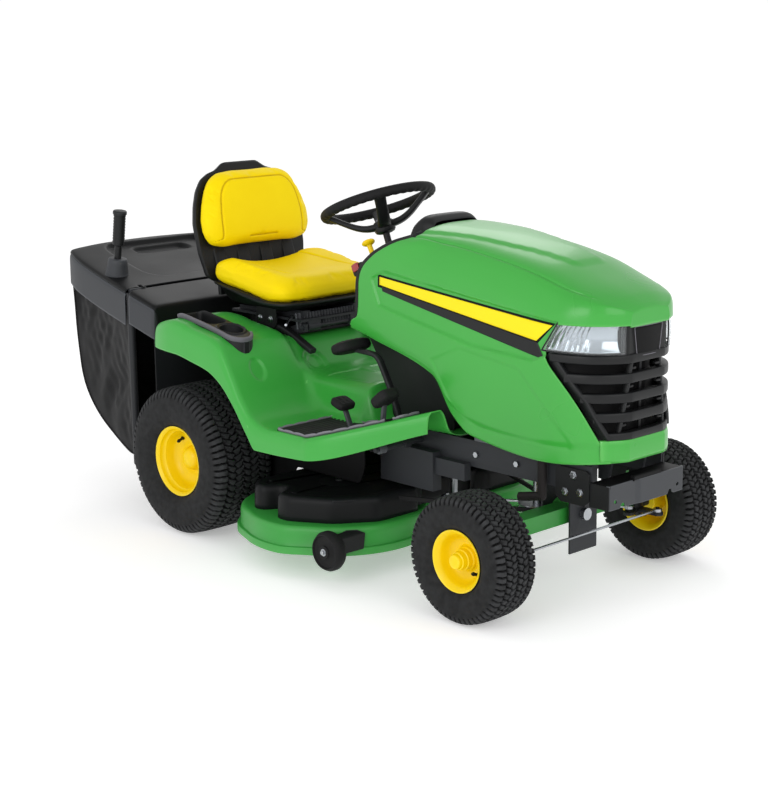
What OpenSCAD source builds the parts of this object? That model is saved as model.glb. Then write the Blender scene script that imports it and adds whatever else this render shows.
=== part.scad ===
// Riding lawn mower: a garden tractor with a belly deck and a rear grass collector.
// +X points forward, +Y to the driver's left, +Z up. The origin lies on the ground, midway
// between the back of the collector and the face of the front bumper.

/* [Overall] */
// Distance from the rear axle to the front axle
wheelbase = 1264; // [1240:1:1300]
// From the rear axle to the back of the collector
rear_overhang = 836; // [820:1:870]
// From the front axle to the face of the front bumper
front_overhang = 284; // [276:1:300]

/* [Fits] */
// Gap between pieces that are bolted or laid on each other
seat_gap = 0.25; // [0.2:0.05:0.5]
// Radial clearance of a pin or shaft in its bore
run_gap = 0.05; // [0.02:0.01:0.1]
// Gap beside a piece that turns or swings
side_gap = 0.6; // [0.5:0.1:1.5]
// Wall of the moulded panels
panel_t = 4; // [3:0.5:5]

/* [Rear wheels] */
// Outer diameter of the rear tyre
rear_tyre_d = 490; // [470:2:500]
// Width of the rear tyre
rear_tyre_w = 240; // [220:2:250]
// Distance between the middles of the rear tyres
rear_track = 772; // [760:2:800]
// Diameter of the rear rim at the bead
rear_rim_d = 216; // [200:2:230]
// Diameter of the rear axle shafts
rear_shaft_d = 26; // [22:1:30]

/* [Front wheels] */
// Outer diameter of the front tyre
front_tyre_d = 368; // [350:2:376]
// Width of the front tyre
front_tyre_w = 154; // [140:2:160]
// Distance between the middles of the front tyres
front_track = 832; // [820:2:850]
// Diameter of the front rim at the bead
front_rim_d = 164; // [150:2:176]
// Diameter of the wheel spindles
spindle_d = 24; // [20:1:28]
// Rubber thickness of all tyres
tyre_wall = 14; // [10:1:18]

/* [Frame] */
// Width over the two side rails
frame_w = 320; // [310:2:330]
// Height of the underside of the rails
rail_z = 350; // [346:1:356]
// Depth of the rails
rail_h = 80; // [76:1:82]
// Plate thickness of the frame
rail_t = 6; // [5:0.5:8]
// Height of the front axle pivot
axle_pivot_z = 232; // [230:1:236]
// Diameter of the front axle pivot pin
axle_pin_d = 24; // [20:1:28]
// Depth of the front axle beam
beam_h = 48; // [44:1:50]
// Width of the front axle beam, fore and aft
beam_w = 60; // [50:2:66]

/* [Steering] */
// Distance between the kingpins
kingpin_span = 600; // [590:2:610]
// Diameter of the kingpins
kingpin_d = 22; // [18:1:24]
// Length of the steering arms
steer_arm = 90; // [84:1:96]
// Length of the two arms that the drag link joins
drag_arm = 65; // [62:1:68]
// Diameter of the ball studs
stud_d = 12; // [10:1:14]
// Thickness of the rod ends
rod_end_t = 9; // [8:0.5:10]
// Lean of the steering column from upright
column_tilt = 21; // [19:0.5:23]
// Outer diameter of the steering wheel
wheel_d = 372; // [350:2:390]
// Thickness of the steering wheel rim
rim_tube_d = 28; // [24:1:32]
// Steering wheel centre ahead of the rear axle
wheel_x = 460; // [450:1:470]
// Height of the steering wheel rim
wheel_z = 1078; // [1070:1:1086]
// Diameter of the steering shafts
column_d = 22; // [18:1:24]
// Tooth module of the steering gears
gear_module = 4; // [3.8:0.1:4.2]
// Teeth of the steering pinion
pinion_teeth = 12; // [12:2:14]
// Teeth on the full circle of the sector gear, cut on its inside
sector_teeth = 60; // [58:2:62]

/* [Mower deck] */
// Distance between the blade spindles
spindle_span = 524; // [516:2:530]
// Spindles ahead of the rear axle
deck_x = 545; // [540:1:550]
// Radius of each deck lobe
lobe_r = 285; // [280:1:288]
// Height of the deck rim above the ground when raised
deck_z = 80; // [76:1:84]
// Depth of the deck shell
deck_h = 85; // [80:1:88]
// Plate thickness of the deck shell
deck_t = 3; // [2.5:0.5:4]
// Tip to tip length of a blade
blade_l = 536; // [520:2:544]
// Blade width
blade_w = 60; // [50:2:70]
// Spindle diameter
blade_shaft_d = 25; // [20:1:28]
// Radius of the spindle pulleys
pulley_r = 66; // [60:1:70]
// Radius of the engine pulley
engine_pulley_r = 55; // [50:1:60]
// Width of the belt and of the pulley grooves
belt_w = 13; // [11:0.5:15]
// Height of the black belt cover above the deck
cover_h = 76; // [74:1:80]
// Diameter of the gauge wheels
gauge_d = 120; // [114:2:124]
// Travel of the deck below its raised place
deck_travel = 50; // [40:1:50]

/* [Hood] */
// Hood half-width at the sides
hood_hw = 222; // [218:1:226]
// Height of the hood at its rear edge
hood_rear_z = 1044; // [1036:1:1050]
// Height of the hood at the nose
hood_nose_z = 868; // [860:1:876]
// Height of the chin under the grille
chin_z = 441; // [436:1:446]
// Height of the hood hinge rod
hood_hinge_z = 462; // [458:1:466]
// Half-width of the flat front of the nose
nose_hw = 84; // [76:1:90]
// Number of grille bars
grille_bars = 5; // [4:1:6]

/* [Body] */
// Outer half-width of the fenders
fender_hw = 488; // [484:1:496]
// Height of the fender tops
fender_z = 712; // [706:1:718]
// Height of the footboards
board_z = 425; // [420:1:430]
// Rise of the footboards' front ramps
ramp_rise = 99; // [92:1:104]
// Height of the seat platform
platform_z = 640; // [634:1:644]
// Half-width of the tunnel between the footboards
tunnel_hw = 185; // [180:1:190]
// Height of the tunnel in front of the seat
tunnel_z = 540; // [530:1:548]
// Diameter of the cup holes
cup_d = 78; // [70:1:80]

/* [Seat] */
// Length of the seat cushion
cushion_l = 420; // [400:2:430]
// Width of the seat cushion
cushion_w = 464; // [450:2:480]
// Thickness of the seat cushion
cushion_t = 92; // [84:1:96]
// Height of the backrest pad
backrest_h = 300; // [280:2:310]
// Thickness of the backrest pad
backrest_t = 78; // [70:1:84]
// Lean of the backrest
backrest_tilt = 12; // [10:0.5:14]
// Height of the underside of the seat pan
seat_z = 722; // [716:1:728]

/* [Collector] */
// Half-width of the collector at the rear
hopper_rear_hw = 376; // [370:1:384]
// Half-width of the collector at the front
hopper_front_hw = 430; // [424:1:436]
// Height of the collector cover at the rear
hopper_rear_z = 880; // [874:1:886]
// Height of the collector cover at the hinge
hopper_hinge_z = 776; // [772:1:780]
// Height of the cover's side bands
hopper_band = 122; // [116:1:128]
// Tube diameter of the collector frame
hopper_tube_d = 25; // [22:1:28]
// Height of the bottom of the bag
bag_z = 196; // [190:1:204]
// Pulled out length of the emptying handle
handle_travel = 240; // [200:5:250]

/* [Hidden] */
$fn = 48;

length = rear_overhang + wheelbase + front_overhang;
rear_x = rear_overhang - length / 2;
front_x = rear_x + wheelbase;
bumper_x = front_x + front_overhang;
nose_x = bumper_x - 3;
rear_z = rear_tyre_d / 2;
front_z = front_tyre_d / 2;
rail_y = frame_w / 2;
rail_in = rail_y - rail_t;
rail_top = rail_z + rail_h;
rail_x0 = rear_x - 268 + rail_t / 2 + seat_gap;
rail_x1 = bumper_x - 74;

// Front axle and steering
beam_z0 = axle_pivot_z - beam_h / 2;
beam_z1 = axle_pivot_z + beam_h / 2;
kingpin_y = kingpin_span / 2;
hub_room = 34;
boss_l = beam_w / 2 + 15;
boss_top = beam_z1 + 34;
arm_t = 10;
arm_z = front_z - 12;
tie_z = arm_z + arm_t + side_gap;
drag_z = tie_z + rod_end_t + side_gap;
tilt_play = 5;
universal_z = 470;
pinion_x = rear_x + wheel_x + (wheel_z - universal_z) * tan(column_tilt);
sector_x = pinion_x + gear_module * (sector_teeth - pinion_teeth) / 2;
gear_t = 12;
gear_z = rail_z + 16;
column_l = (wheel_z - universal_z) / cos(column_tilt);

// Deck, belt and lift
spindle_y = spindle_span / 2;
mid_x = rear_x + deck_x;
deck_top = deck_z + deck_h;
housing_h = 44;
pulley_t = belt_w + 8;
pulley_z = deck_top + housing_h + seat_gap + 2;
belt_z = pulley_z + 4;
engine_x = front_x - 124;
lift_x = rear_x + 575;
lift_z = rail_z + 45;
lift_arm_x = 140;
lift_arm_z = 85;
lift_shaft_d = 22;
lift_pin_d = 14;
lift_arm_y = rail_in - 18;
lug_t = 6;
lug_y = rail_in - 9;
pedal_x = rear_x + 810;
pedal_z = rail_top - 32;
pedal_shaft_d = 16;
reverse_x = rear_x + 690;
gauge_x = mid_x + 232;
gauge_y = 516;

// Dash, seat and collector
dash_x0 = rear_x + 592;
dash_z0 = 893;
dash_x1 = rear_x + 815;
dash_z1 = dash_z0 + 121;
dash_angle = atan2(dash_z1 - dash_z0, dash_x1 - dash_x0);
dash_l = norm([dash_x1 - dash_x0, dash_z1 - dash_z0]);
dash_hw = hood_hw - 26;
tower_hw = 125;
hinge_rod_x = rear_x + 238;
hinge_rod_z = platform_z + 30;
hinge_rod_d = 14;
hopper_hinge_x = rear_x - 326;
hopper_back_x = rear_x - rear_overhang;
panel_x = rear_x - 268;
chute_hw = 120;
floor_z = rail_top + panel_t + seat_gap;
ear_y = hopper_front_hw - 70;
pivot_d = 16;
handle_y = -hopper_rear_hw + 22;
handle_x = rear_x - 483;
handle_d = 16;
hood_hinge_x = bumper_x - 72;
lamp_z0 = 742;
lamp_z1 = 828;
grille_z0 = 506;

// Block between two opposite corners
module box(a, b) {
    translate(a) cube(b - a);
}

// Cylinder from one height to another
module post(x, y, z0, z1, d) {
    translate([x, y, z0]) cylinder(d = d, h = z1 - z0);
}

// Cylinder along Y
module rod_y(x, z, y0, y1, d) {
    translate([x, y0, z]) rotate([-90, 0, 0]) cylinder(d = d, h = y1 - y0);
}

// Cylinder along X
module rod_x(y, z, x0, x1, d) {
    translate([x0, y, z]) rotate([0, 90, 0]) cylinder(d = d, h = x1 - x0);
}

// Cylinder between two points
module rod(a, b, d) {
    v = b - a;
    l = norm(v);
    translate(a) rotate([0, acos(v.z / l), atan2(v.y, v.x)]) cylinder(d = d, h = l);
}

// Plan of a flat bar of length l with cut corners, past its start too where back is set
module bar_outline(l, w, back) {
    h = w / 2 - 1;
    c = 0.42 * w / 2;
    end = [[l + c, -h], [l + h, -c], [l + h, c], [l + c, h]];
    start = back ? [[-c, h], [-h, c], [-h, -c], [-c, -h]] : [[0, h], [0, -h]];
    polygon(concat(end, start));
}

// Flat bar from a boss at a to an eye at b, both plan points
module bar(a, b, w, z, t) {
    v = b - a;
    translate([a.x, a.y, z]) rotate([0, 0, atan2(v.y, v.x)]) linear_extrude(t) bar_outline(norm(v), w, false);
}

// Side profile in X and Z, drawn across Y
module profile(points, y0, y1) {
    translate([0, y1, 0]) rotate([90, 0, 0]) linear_extrude(y1 - y0) polygon(points);
}

function triangles(q) = [[q[0], q[1], q[2]], [q[0], q[2], q[3]]];

// Sheet between an outer and an inner grid of points, closed along its four edges
module sheet(outer, inner) {
    n = len(outer);
    m = len(outer[0]);
    k = n * m;
    skin = [for (i = [0:n - 2], j = [0:m - 2]) let (a = i * m + j)
        each concat(triangles([a, a + m, a + m + 1, a + 1]),
            triangles([a + k, a + k + 1, a + k + m + 1, a + k + m]))];
    sides = [for (i = [0:n - 2]) let (a = i * m, b = i * m + m - 1)
        each concat(triangles([a + m, a, a + k, a + m + k]), triangles([b, b + m, b + m + k, b + k]))];
    ends = [for (j = [0:m - 2]) let (a = j, d = (n - 1) * m + j)
        each concat(triangles([a, a + 1, a + 1 + k, a + k]), triangles([d + 1, d, d + k, d + 1 + k]))];
    polyhedron([for (r = outer) each r, for (r = inner) each r], concat(skin, sides, ends));
}

// Closed solid through a row of rings, each running from +Y over the top to -Y
module loft(rings) {
    n = len(rings);
    m = len(rings[0]);
    skin = [for (i = [0:n - 2], j = [0:m - 1]) let (a = i * m + j, b = i * m + (j + 1) % m)
        each triangles([a, a + m, b + m, b])];
    caps = [for (j = [1:m - 2]) each [[0, j, j + 1],
        [(n - 1) * m, (n - 1) * m + j + 1, (n - 1) * m + j]]];
    polyhedron([for (r = rings) each r], concat(skin, caps));
}

// Frame
module frame_rails() {
    color("#26282a") {
        for (s = [-1, 1]) difference() {
            box([rail_x0, s * rail_y - (s + 1) / 2 * rail_t, rail_z],
                [rail_x1, s * rail_y - (s - 1) / 2 * rail_t, rail_top]);
            rod_y(lift_x, lift_z, s * rail_y - 20, s * rail_y + 20, lift_shaft_d + 2 * run_gap);
        }
        for (x = [rail_x0 + 4, rail_x1 - rail_t - 4]) cross_member(x);
        pivot_plate(front_x - boss_l - side_gap - rail_t, 70, axle_pivot_z - 46);
        pivot_plate(front_x + boss_l + side_gap, 60, axle_pivot_z - 112);
        steering_plate(gear_z - 6 - rail_t);
        steering_plate(gear_z + gear_t + 6);
        for (s = [-1, 1]) side_shield(s);
        for (s = [-1, 1]) pedal_shaft(pedal_x, s);
        pedal_shaft(reverse_x, -1);
        hood_hinge();
    }
}

module cross_member(x) {
    box([x, -rail_in + seat_gap, rail_z + 4], [x + rail_t, rail_in - seat_gap, rail_z + 26]);
}

module pivot_plate(x, w, z0) {
    difference() {
        union() {
            box([x, -rail_in + seat_gap, rail_z + 4], [x + rail_t, rail_in - seat_gap, rail_top - 20]);
            box([x, -w, z0], [x + rail_t, w, rail_z + 5]);
        }
        rod_x(0, axle_pivot_z, x - 1, x + rail_t + 1, axle_pin_d + 2 * seat_gap);
    }
}

// Plate between the rails that carries the steering shafts
module steering_plate(z) {
    difference() {
        box([pinion_x - 40, -rail_in + seat_gap, z], [sector_x + 45, rail_in - seat_gap, z + rail_t]);
        post(pinion_x, 0, z - 1, z + rail_t + 1, column_d + 2 * run_gap);
        post(sector_x, 0, z - 1, z + rail_t + 1, column_d + 2 * run_gap);
    }
}

module side_shield(s) {
    x0 = rear_x + 664;
    y0 = rail_y + seat_gap;
    z0 = deck_top + cover_h + 14;
    mirror([0, (1 - s) / 2, 0]) {
        box([x0, y0, z0], [x0 + 228, y0 + 36, rail_z + 26]);
        box([x0 + 228 + seat_gap, y0, rail_z - 42], [x0 + 350, y0 + 26, rail_z + 10]);
    }
}

module pedal_shaft(x, s) {
    y0 = rail_y + seat_gap;
    rod_y(x, pedal_z, s > 0 ? y0 : -y0 - 196, s > 0 ? y0 + 196 : -y0, pedal_shaft_d);
}

module hood_hinge() {
    z0 = rail_z + 26 + seat_gap;
    rod_y(hood_hinge_x, hood_hinge_z, -110, 110, hinge_rod_d);
    for (s = [-1, 1]) difference() {
        profile([[rail_x1 - 40, z0], [rail_x1 - 4, z0], [hood_hinge_x + 11, hood_hinge_z - 8],
            [hood_hinge_x + 11, hood_hinge_z + 11], [hood_hinge_x - 11, hood_hinge_z + 11],
            [rail_x1 - 40, z0 + 40]], s * 76 - 5, s * 76 + 5);
        rod_y(hood_hinge_x, hood_hinge_z, -rail_y, rail_y, hinge_rod_d + 2 * seat_gap);
    }
}

module front_bumper() {
    x0 = rail_x1 + seat_gap;
    z0 = 316;
    z1 = 386;
    color("#3a3d40") {
        difference() {
            union() {
                box([bumper_x - 6, -166, z0], [bumper_x, 166, z1]);
                box([x0, -166, z1 - 6], [bumper_x, 166, z1]);
                box([bumper_x - 12, -62, z1 - 1], [bumper_x, 62, z1 + 12]);
                for (s = [-1, 1]) box([x0, s * 163 - 3, z0], [bumper_x, s * 163 + 3, z1]);
            }
            for (s = [-1, 1]) rod_x(s * 136, z0 + 22, bumper_x - 8, bumper_x + 1, 13);
        }
        for (s = [-1, 1]) box([rail_x1 - 120, s * (rail_y + 5) - 4.5, rail_z - 34],
            [x0 - seat_gap, s * (rail_y + 5) + 4.5, rail_top - 14]);
    }
}

module fasteners() {
    color("#b9bcc0") {
        rod_x(0, axle_pivot_z, front_x - boss_l - rail_t - 4, front_x + boss_l + 16, axle_pin_d);
        rod_x(0, axle_pivot_z, front_x + boss_l + side_gap + rail_t + seat_gap, front_x + boss_l + 22,
            axle_pin_d + 12);
        for (s = [-1, 1], x = [rear_x - 200, rear_x + 240, rear_x + 1040, rear_x + 1200])
            hex_y(x, rail_z + 40, s * (rail_y + seat_gap), s);
        for (s = [-1, 1]) rod_x(s * 60, rail_z + 15, rail_x1 - 3.5, rail_x1 + 6, 12);
        for (s = [-1, 1], z = [420, 660]) rod_x(s * 220, z, panel_x - 7, panel_x - rail_t / 2 - seat_gap, 16);
    }
}

// Hexagon bolt head standing off a face across Y
module hex_y(x, z, y, s) {
    translate([x, y, z]) rotate([-90 * s, 0, 0]) cylinder(d = 18, h = 8, $fn = 6);
}

// Power unit
module engine_block() {
    x0 = engine_x - 110;
    z0 = rail_top + seat_gap;
    color("#4a4d50") {
        difference() {
            union() {
                box([x0, -rail_y, z0], [x0 + 250, rail_y, z0 + 26]);
                box([x0 + 30, -105, z0 + 25], [x0 + 220, 105, z0 + 190]);
            }
            post(engine_x, 0, z0 - 1, z0 + 60, column_d + 10 + 2 * run_gap);
        }
        post(engine_x, 0, z0 + 190 + seat_gap, z0 + 300, 300);
        for (s = [-1, 1]) finned_cylinder(x0 + 125, s, z0 + 100);
    }
}

module finned_cylinder(x, s, z) {
    mirror([0, (1 - s) / 2, 0]) {
        rod_y(x, z, 105 + seat_gap, 178, 84);
        for (k = [0:5]) rod_y(x, z, 112 + 11 * k, 116 + 11 * k, 124);
    }
}

module muffler() {
    x = engine_x + 216;
    z = rail_top + 70;
    color("#2c2c2d") {
        rod_y(x, z, -130, 130, 104);
        for (s = [-1, 1]) rod_y(x, z, s * 137 - 7, s * 137 + 7, 112);
        box([x - 30, -rail_y, rail_top + seat_gap], [x + 30, rail_y, rail_top + 8]);
        box([x - 30, -50, rail_top + 7], [x + 30, 50, z]);
        rod([x - 34, -138, z - 14], [x - 44, -180, z - 22], 26);
        translate([x - 44, -180, z - 22]) sphere(d = 27);
        rod([x - 44, -180, z - 22], [x - 44, -180, rail_z - 30], 26);
        translate([x - 44, -180, rail_z - 30]) sphere(d = 27);
        rod([x - 44, -180, rail_z - 30], [x - 120, -190, rail_z - 44], 26);
    }
}

module battery() {
    x0 = rear_x + 914;
    z0 = floor_z + seat_gap;
    color("#1f2022") box([x0, -88, z0], [x0 + 108, 88, z0 + 150]);
    color("#9a9da0") for (y = [-58, 58]) post(x0 + 54, y, z0 + 150 - 1, z0 + 164, 16);
}

module fuel_tank() {
    z0 = rear_tyre_d + 30;
    color("#d8d8d2") {
        difference() {
            union() {
                box([rear_x - 90, 205, z0], [rear_x + 70, 440, z0 + 70]);
                post(cap_x, cap_y, z0 + 69, cap_z, 46);
            }
            post(cap_x, cap_y, z0 + 30, cap_z + 1, 36);
        }
        for (x = [rear_x - 60, rear_x + 40])
            box([x, rail_y + seat_gap, rail_top - 40], [x + 12, rail_y + 14, z0 + 30]);
        for (x = [rear_x - 60, rear_x + 40]) box([x, rail_y + 13, z0 + 12], [x + 12, 206, z0 + 30]);
    }
}

cap_x = rear_x + 36;
cap_y = 268;
cap_z = fender_z + 8;

module fuel_cap() {
    color("#1d1d1f") difference() {
        union() {
            post(cap_x, cap_y, cap_z + side_gap, cap_z + 22, 60);
            post(cap_x, cap_y, cap_z - 18, cap_z + 4, 36 - 2 * run_gap);
            for (a = [0:30:150]) translate([cap_x, cap_y, cap_z + 4]) rotate([0, 0, a])
                translate([-33, -3, 0]) cube([66, 6, 16]);
        }
        post(cap_x, cap_y, cap_z - 19, cap_z - 8, 28);
    }
}

// Dash
module dash_console() {
    t = panel_t;
    outer = [[rear_x + 498, 850], [rear_x + 540, 700], [rear_x + 655, 520],
        [rear_x + 662, floor_z + seat_gap], [rear_x + 905, floor_z + seat_gap], [rear_x + 905, 880],
        under_dash(dash_l - 4, seat_gap), under_dash(2, seat_gap)];
    inner = [[rear_x + 498 + 1.6 * t, 850], [rear_x + 540 + t, 700 + t], [rear_x + 655 + t, 520 + t],
        [rear_x + 662 + t, floor_z - 2], [rear_x + 905 - t, floor_z - 2], [rear_x + 905 - t, 880],
        under_dash(dash_l - 4 - t, seat_gap + t), under_dash(2, seat_gap + t)];
    color("#1b1c1e") {
        difference() {
            profile(outer, -tower_hw, tower_hw);
            profile(inner, -tower_hw + t, tower_hw - t);
            on_column() cylinder(d = 64 + 2 * seat_gap, h = 600, center = true);
            on_dash() post(pto_s, pto_y, -30, 1, 18);
        }
        difference() {
            on_column() translate([0, 0, -236]) cylinder(d = 64, h = 70);
            on_column() cylinder(d = column_d + 2 * run_gap, h = 900, center = true);
        }
        on_dash() difference() {
            linear_extrude(12) polygon([[0, -dash_hw], [112, -dash_hw], [dash_l, -dash_hw + 40],
                [dash_l, dash_hw - 40], [112, dash_hw], [0, dash_hw]]);
            control_holes();
        }
        instrument_hood();
        for (s = [-1, 1]) on_dash()
            box([6, s * (dash_hw - 3) - 3, -34], [108, s * (dash_hw - 3) + 3, -seat_gap]);
    }
    color("#b01d1d") for (s = [-1, 1]) on_dash()
        box([-30, s * (dash_hw - 20) - 14, -12], [-seat_gap, s * (dash_hw - 20) + 14, 12]);
}

// Places children with Z along the steering column and the origin at the wheel's centre
module on_column() {
    translate([rear_x + wheel_x, 0, wheel_z]) rotate([0, -column_tilt, 0]) children();
}

// Point at a distance up the dash line and a depth under it, in X and Z
function under_dash(up, depth) = [dash_x0 + up * cos(dash_angle) + depth * sin(dash_angle),
    dash_z0 + up * sin(dash_angle) - depth * cos(dash_angle)];

// Places children with X up the dash slope and Z out of its face
module on_dash() {
    translate([dash_x0, 0, dash_z0]) rotate([0, -dash_angle, 0]) children();
}

pto_s = 34;
pto_y = -160;
pto_rise = 88;
key_s = 90;
key_y = -140;
throttle_s = 120;
throttle_y = 140;

module control_holes() {
    post(pto_s, pto_y, -9, 13, 16 + 2 * run_gap);
    post(key_s, key_y, -9, 13, 14 + 2 * run_gap);
    box([throttle_s - 34, throttle_y - 3 - side_gap, -9], [throttle_s + 34, throttle_y + 3 + side_gap, 13]);
}

module instrument_hood() {
    on_dash() difference() {
        translate([140, 0, 12 + seat_gap]) hull() {
            box([0, -112, 0], [112, 112, 12]);
            translate([52, 0, 0]) box([0, -96, 0], [56, 96, 62]);
        }
        translate([120, -84, 16]) rotate([0, -32, 0]) cube([60, 168, 40]);
    }
}

module pto_knob() {
    color("#f2cf13") on_dash() {
        post(pto_s, pto_y, -12, pto_rise - 12, 16);
        post(pto_s, pto_y, pto_rise - 18, pto_rise, 42);
    }
}

module throttle_lever() {
    color("#202124") on_dash() {
        translate([throttle_s, throttle_y, -16]) rotate([-90, 0, 0]) cylinder(d = 20, h = 6, center = true);
        box([throttle_s - 6, throttle_y - 3, -18], [throttle_s + 6, throttle_y + 3, 50]);
        translate([throttle_s, throttle_y, 58]) sphere(d = 22);
    }
}

module ignition_key() {
    color("#8c8f93") on_dash() {
        post(key_s, key_y, -6, 20, 14);
        box([key_s - 2, key_y - 12, 18], [key_s + 2, key_y + 12, 42]);
    }
}

// Steering
module steering_wheel() {
    rim_r = (wheel_d - rim_tube_d) / 2;
    color("#17181a") on_column() {
        rotate_extrude() translate([rim_r, 0]) circle(d = rim_tube_d);
        translate([0, 0, -98]) cylinder(d = 66, h = 44);
        for (a = [40, 140, 220, 320]) rotate([0, 0, a]) rod([22, 0, -78], [rim_r, 0, 0], 17);
        translate([0, 0, -column_l]) cylinder(d = column_d, h = column_l - 97);
        translate([0, 0, -column_l]) sphere(d = column_d + 3);
    }
}

pressure = 25;
backlash = 0.5;

// Half of a tooth's angle at radius r, thinned by a play in millimetres
function flank(r, teeth, play) =
    let (pitch = gear_module * teeth / 2, base = pitch * cos(pressure), q = max(r, base) / base)
    let (t = sqrt(q * q - 1), u = tan(pressure))
    90 / teeth - play / pitch * 90 / PI + (u * 180 / PI - pressure) - (t * 180 / PI - atan(t));

// Outline of an external gear with a tooth centred on the X axis
function gear_points(teeth, root, tip, play) =
    let (radii = [for (k = [0:3]) root + (tip - root) * k / 3])
    [for (k = [0:teeth - 1]) let (a = 360 * k / teeth) each concat(
        [for (r = radii) r * turned(a - flank(r, teeth, play))],
        [for (i = [3:-1:0]) radii[i] * turned(a + flank(radii[i], teeth, play))])];

// Unit direction at angle a
function turned(a) = [cos(a), sin(a)];

module steering_shaft() {
    m = gear_module;
    r = m * pinion_teeth / 2;
    color("#8d9094") translate([pinion_x, 0, 0]) {
        difference() {
            union() {
                translate([0, 0, rail_z - 2]) cylinder(d = column_d, h = universal_z - 20 - rail_z);
                translate([0, 0, universal_z - 24]) cylinder(d = column_d + 16, h = 26);
            }
            translate([0, 0, universal_z]) sphere(d = column_d + 3 + 0.8);
        }
        translate([0, 0, gear_z + side_gap]) linear_extrude(gear_t - 2 * side_gap)
            polygon(gear_points(pinion_teeth, r - 1.2 * m, r + 0.9 * m, backlash));
    }
}

// Wedge of the plane from one angle to another
function wedge(r, a0, a1) = concat([[0, 0]], [for (k = [0:8]) r * turned(a0 + (a1 - a0) * k / 8)]);

module steering_sector() {
    m = gear_module;
    r = m * sector_teeth / 2;
    bottom = arm_z;
    color("#6f7276") translate([sector_x, 0, 0]) {
        translate([0, 0, bottom]) cylinder(d = column_d, h = gear_z + gear_t + 18 - bottom);
        translate([0, 0, gear_z]) linear_extrude(gear_t) difference() {
            union() {
                intersection() {
                    circle(r = r + 4 * m);
                    polygon(wedge(2 * r, 180 - 64, 180 + 64));
                }
                circle(r = column_d);
            }
            intersection() {
                polygon(wedge(2 * r, 180 - 54, 180 + 54));
                union() {
                    polygon(gear_points(sector_teeth, r - 0.9 * m, r + 1.2 * m, -backlash));
                    circle(r = r - 0.9 * m);
                }
                difference() {
                    circle(r = 3 * r);
                    circle(r = column_d);
                }
            }
        }
        translate([0, 0, bottom]) cylinder(d = column_d + 20, h = arm_t + 2);
        bar([0, 0], drag_reach, 34, arm_z, arm_t);
        post(drag_reach.x, drag_reach.y, arm_z, drag_z + rod_end_t + 8, stud_d);
    }
}

arm_tip = [front_x + steer_arm, kingpin_y];
drag_reach = drag_arm * [cos(65), -sin(65)];
sector_tip = [sector_x, 0] + drag_reach;
drag_tip = [front_x, kingpin_y] + drag_reach;

// Link with an eye at each end, the second one with room for the axle's rocking
module link(a, b, z, play) {
    t = rod_end_t;
    v = (b - a) / norm(b - a);
    difference() {
        union() {
            translate([a.x, a.y, z]) cylinder(d = stud_d + 16, h = t);
            translate([b.x, b.y, z]) cylinder(d = stud_d + 16 + 2 * play, h = t);
            rod([a.x + 8 * v.x, a.y + 8 * v.y, z + t / 2],
                [b.x - 12 * v.x, b.y - 12 * v.y, z + t / 2], t - 1);
        }
        post(a.x, a.y, z - 1, z + t + 1, stud_d + 2 * run_gap);
        post(b.x, b.y, z - 1, z + t + 1, stud_d + 2 * run_gap + 2 * play);
    }
}

module drag_link() {
    color("#a9acb0") link(drag_tip, sector_tip, drag_z, tilt_play);
}

module tie_rod() {
    color("#a9acb0") link(arm_tip, [arm_tip.x, -arm_tip.y], tie_z, 0.5);
}

module front_axle_beam() {
    color("#2d8f43") difference() {
        union() {
            box([front_x - beam_w / 2, -kingpin_y + 10, beam_z0],
                [front_x + beam_w / 2, kingpin_y - 10, beam_z1]);
            rod_x(0, axle_pivot_z, front_x - boss_l, front_x + boss_l, axle_pin_d + 40);
            for (s = [-1, 1]) post(front_x, s * kingpin_y, beam_z0, boss_top, kingpin_d + 30);
        }
        rod_x(0, axle_pivot_z, front_x - boss_l - 1, front_x + boss_l + 1, axle_pin_d + 2 * run_gap);
        for (s = [-1, 1]) post(front_x, s * kingpin_y, beam_z0 - 1, boss_top + 1, kingpin_d + 2 * run_gap);
    }
}

module knuckle(s) {
    body_top = beam_z0 - side_gap;
    color("#26282a") {
        post(front_x, s * kingpin_y, front_z - 24, body_top, kingpin_d + 30);
        post(front_x, s * kingpin_y, front_z, boss_top + 12, kingpin_d);
        post(front_x, s * kingpin_y, boss_top + side_gap, boss_top + 8, kingpin_d + 12);
        rod_y(front_x, front_z, s > 0 ? kingpin_y : -front_track / 2 - 62,
            s > 0 ? front_track / 2 + 62 : -kingpin_y, spindle_d);
        bar([front_x, s * kingpin_y], [arm_tip.x, s * kingpin_y], 34, arm_z, arm_t);
        post(arm_tip.x, s * kingpin_y, arm_z, tie_z + rod_end_t + 4, stud_d);
        if (s > 0) {
            bar([front_x, kingpin_y], drag_tip, 34, arm_z, arm_t);
            post(drag_tip.x, drag_tip.y, arm_z, drag_z + rod_end_t + 4, stud_d);
        }
    }
}

module knuckle_right() {
    knuckle(-1);
}

module knuckle_left() {
    knuckle(1);
}

// Wheels
// Half section of a tyre: radius against half-width, from the bead over the tread
function tyre_half(d, w, rim_d) = [
    [rim_d / 2, 0.36 * w], [rim_d / 2 + 12, 0.4 * w], [rim_d / 2 + 0.3 * (d - rim_d) / 2, 0.49 * w],
    [rim_d / 2 + 0.55 * (d - rim_d) / 2, 0.5 * w], [d / 2 - 0.2 * (d - rim_d) / 2, 0.475 * w],
    [d / 2 - 0.06 * (d - rim_d) / 2, 0.43 * w], [d / 2, 0.36 * w]];

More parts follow.
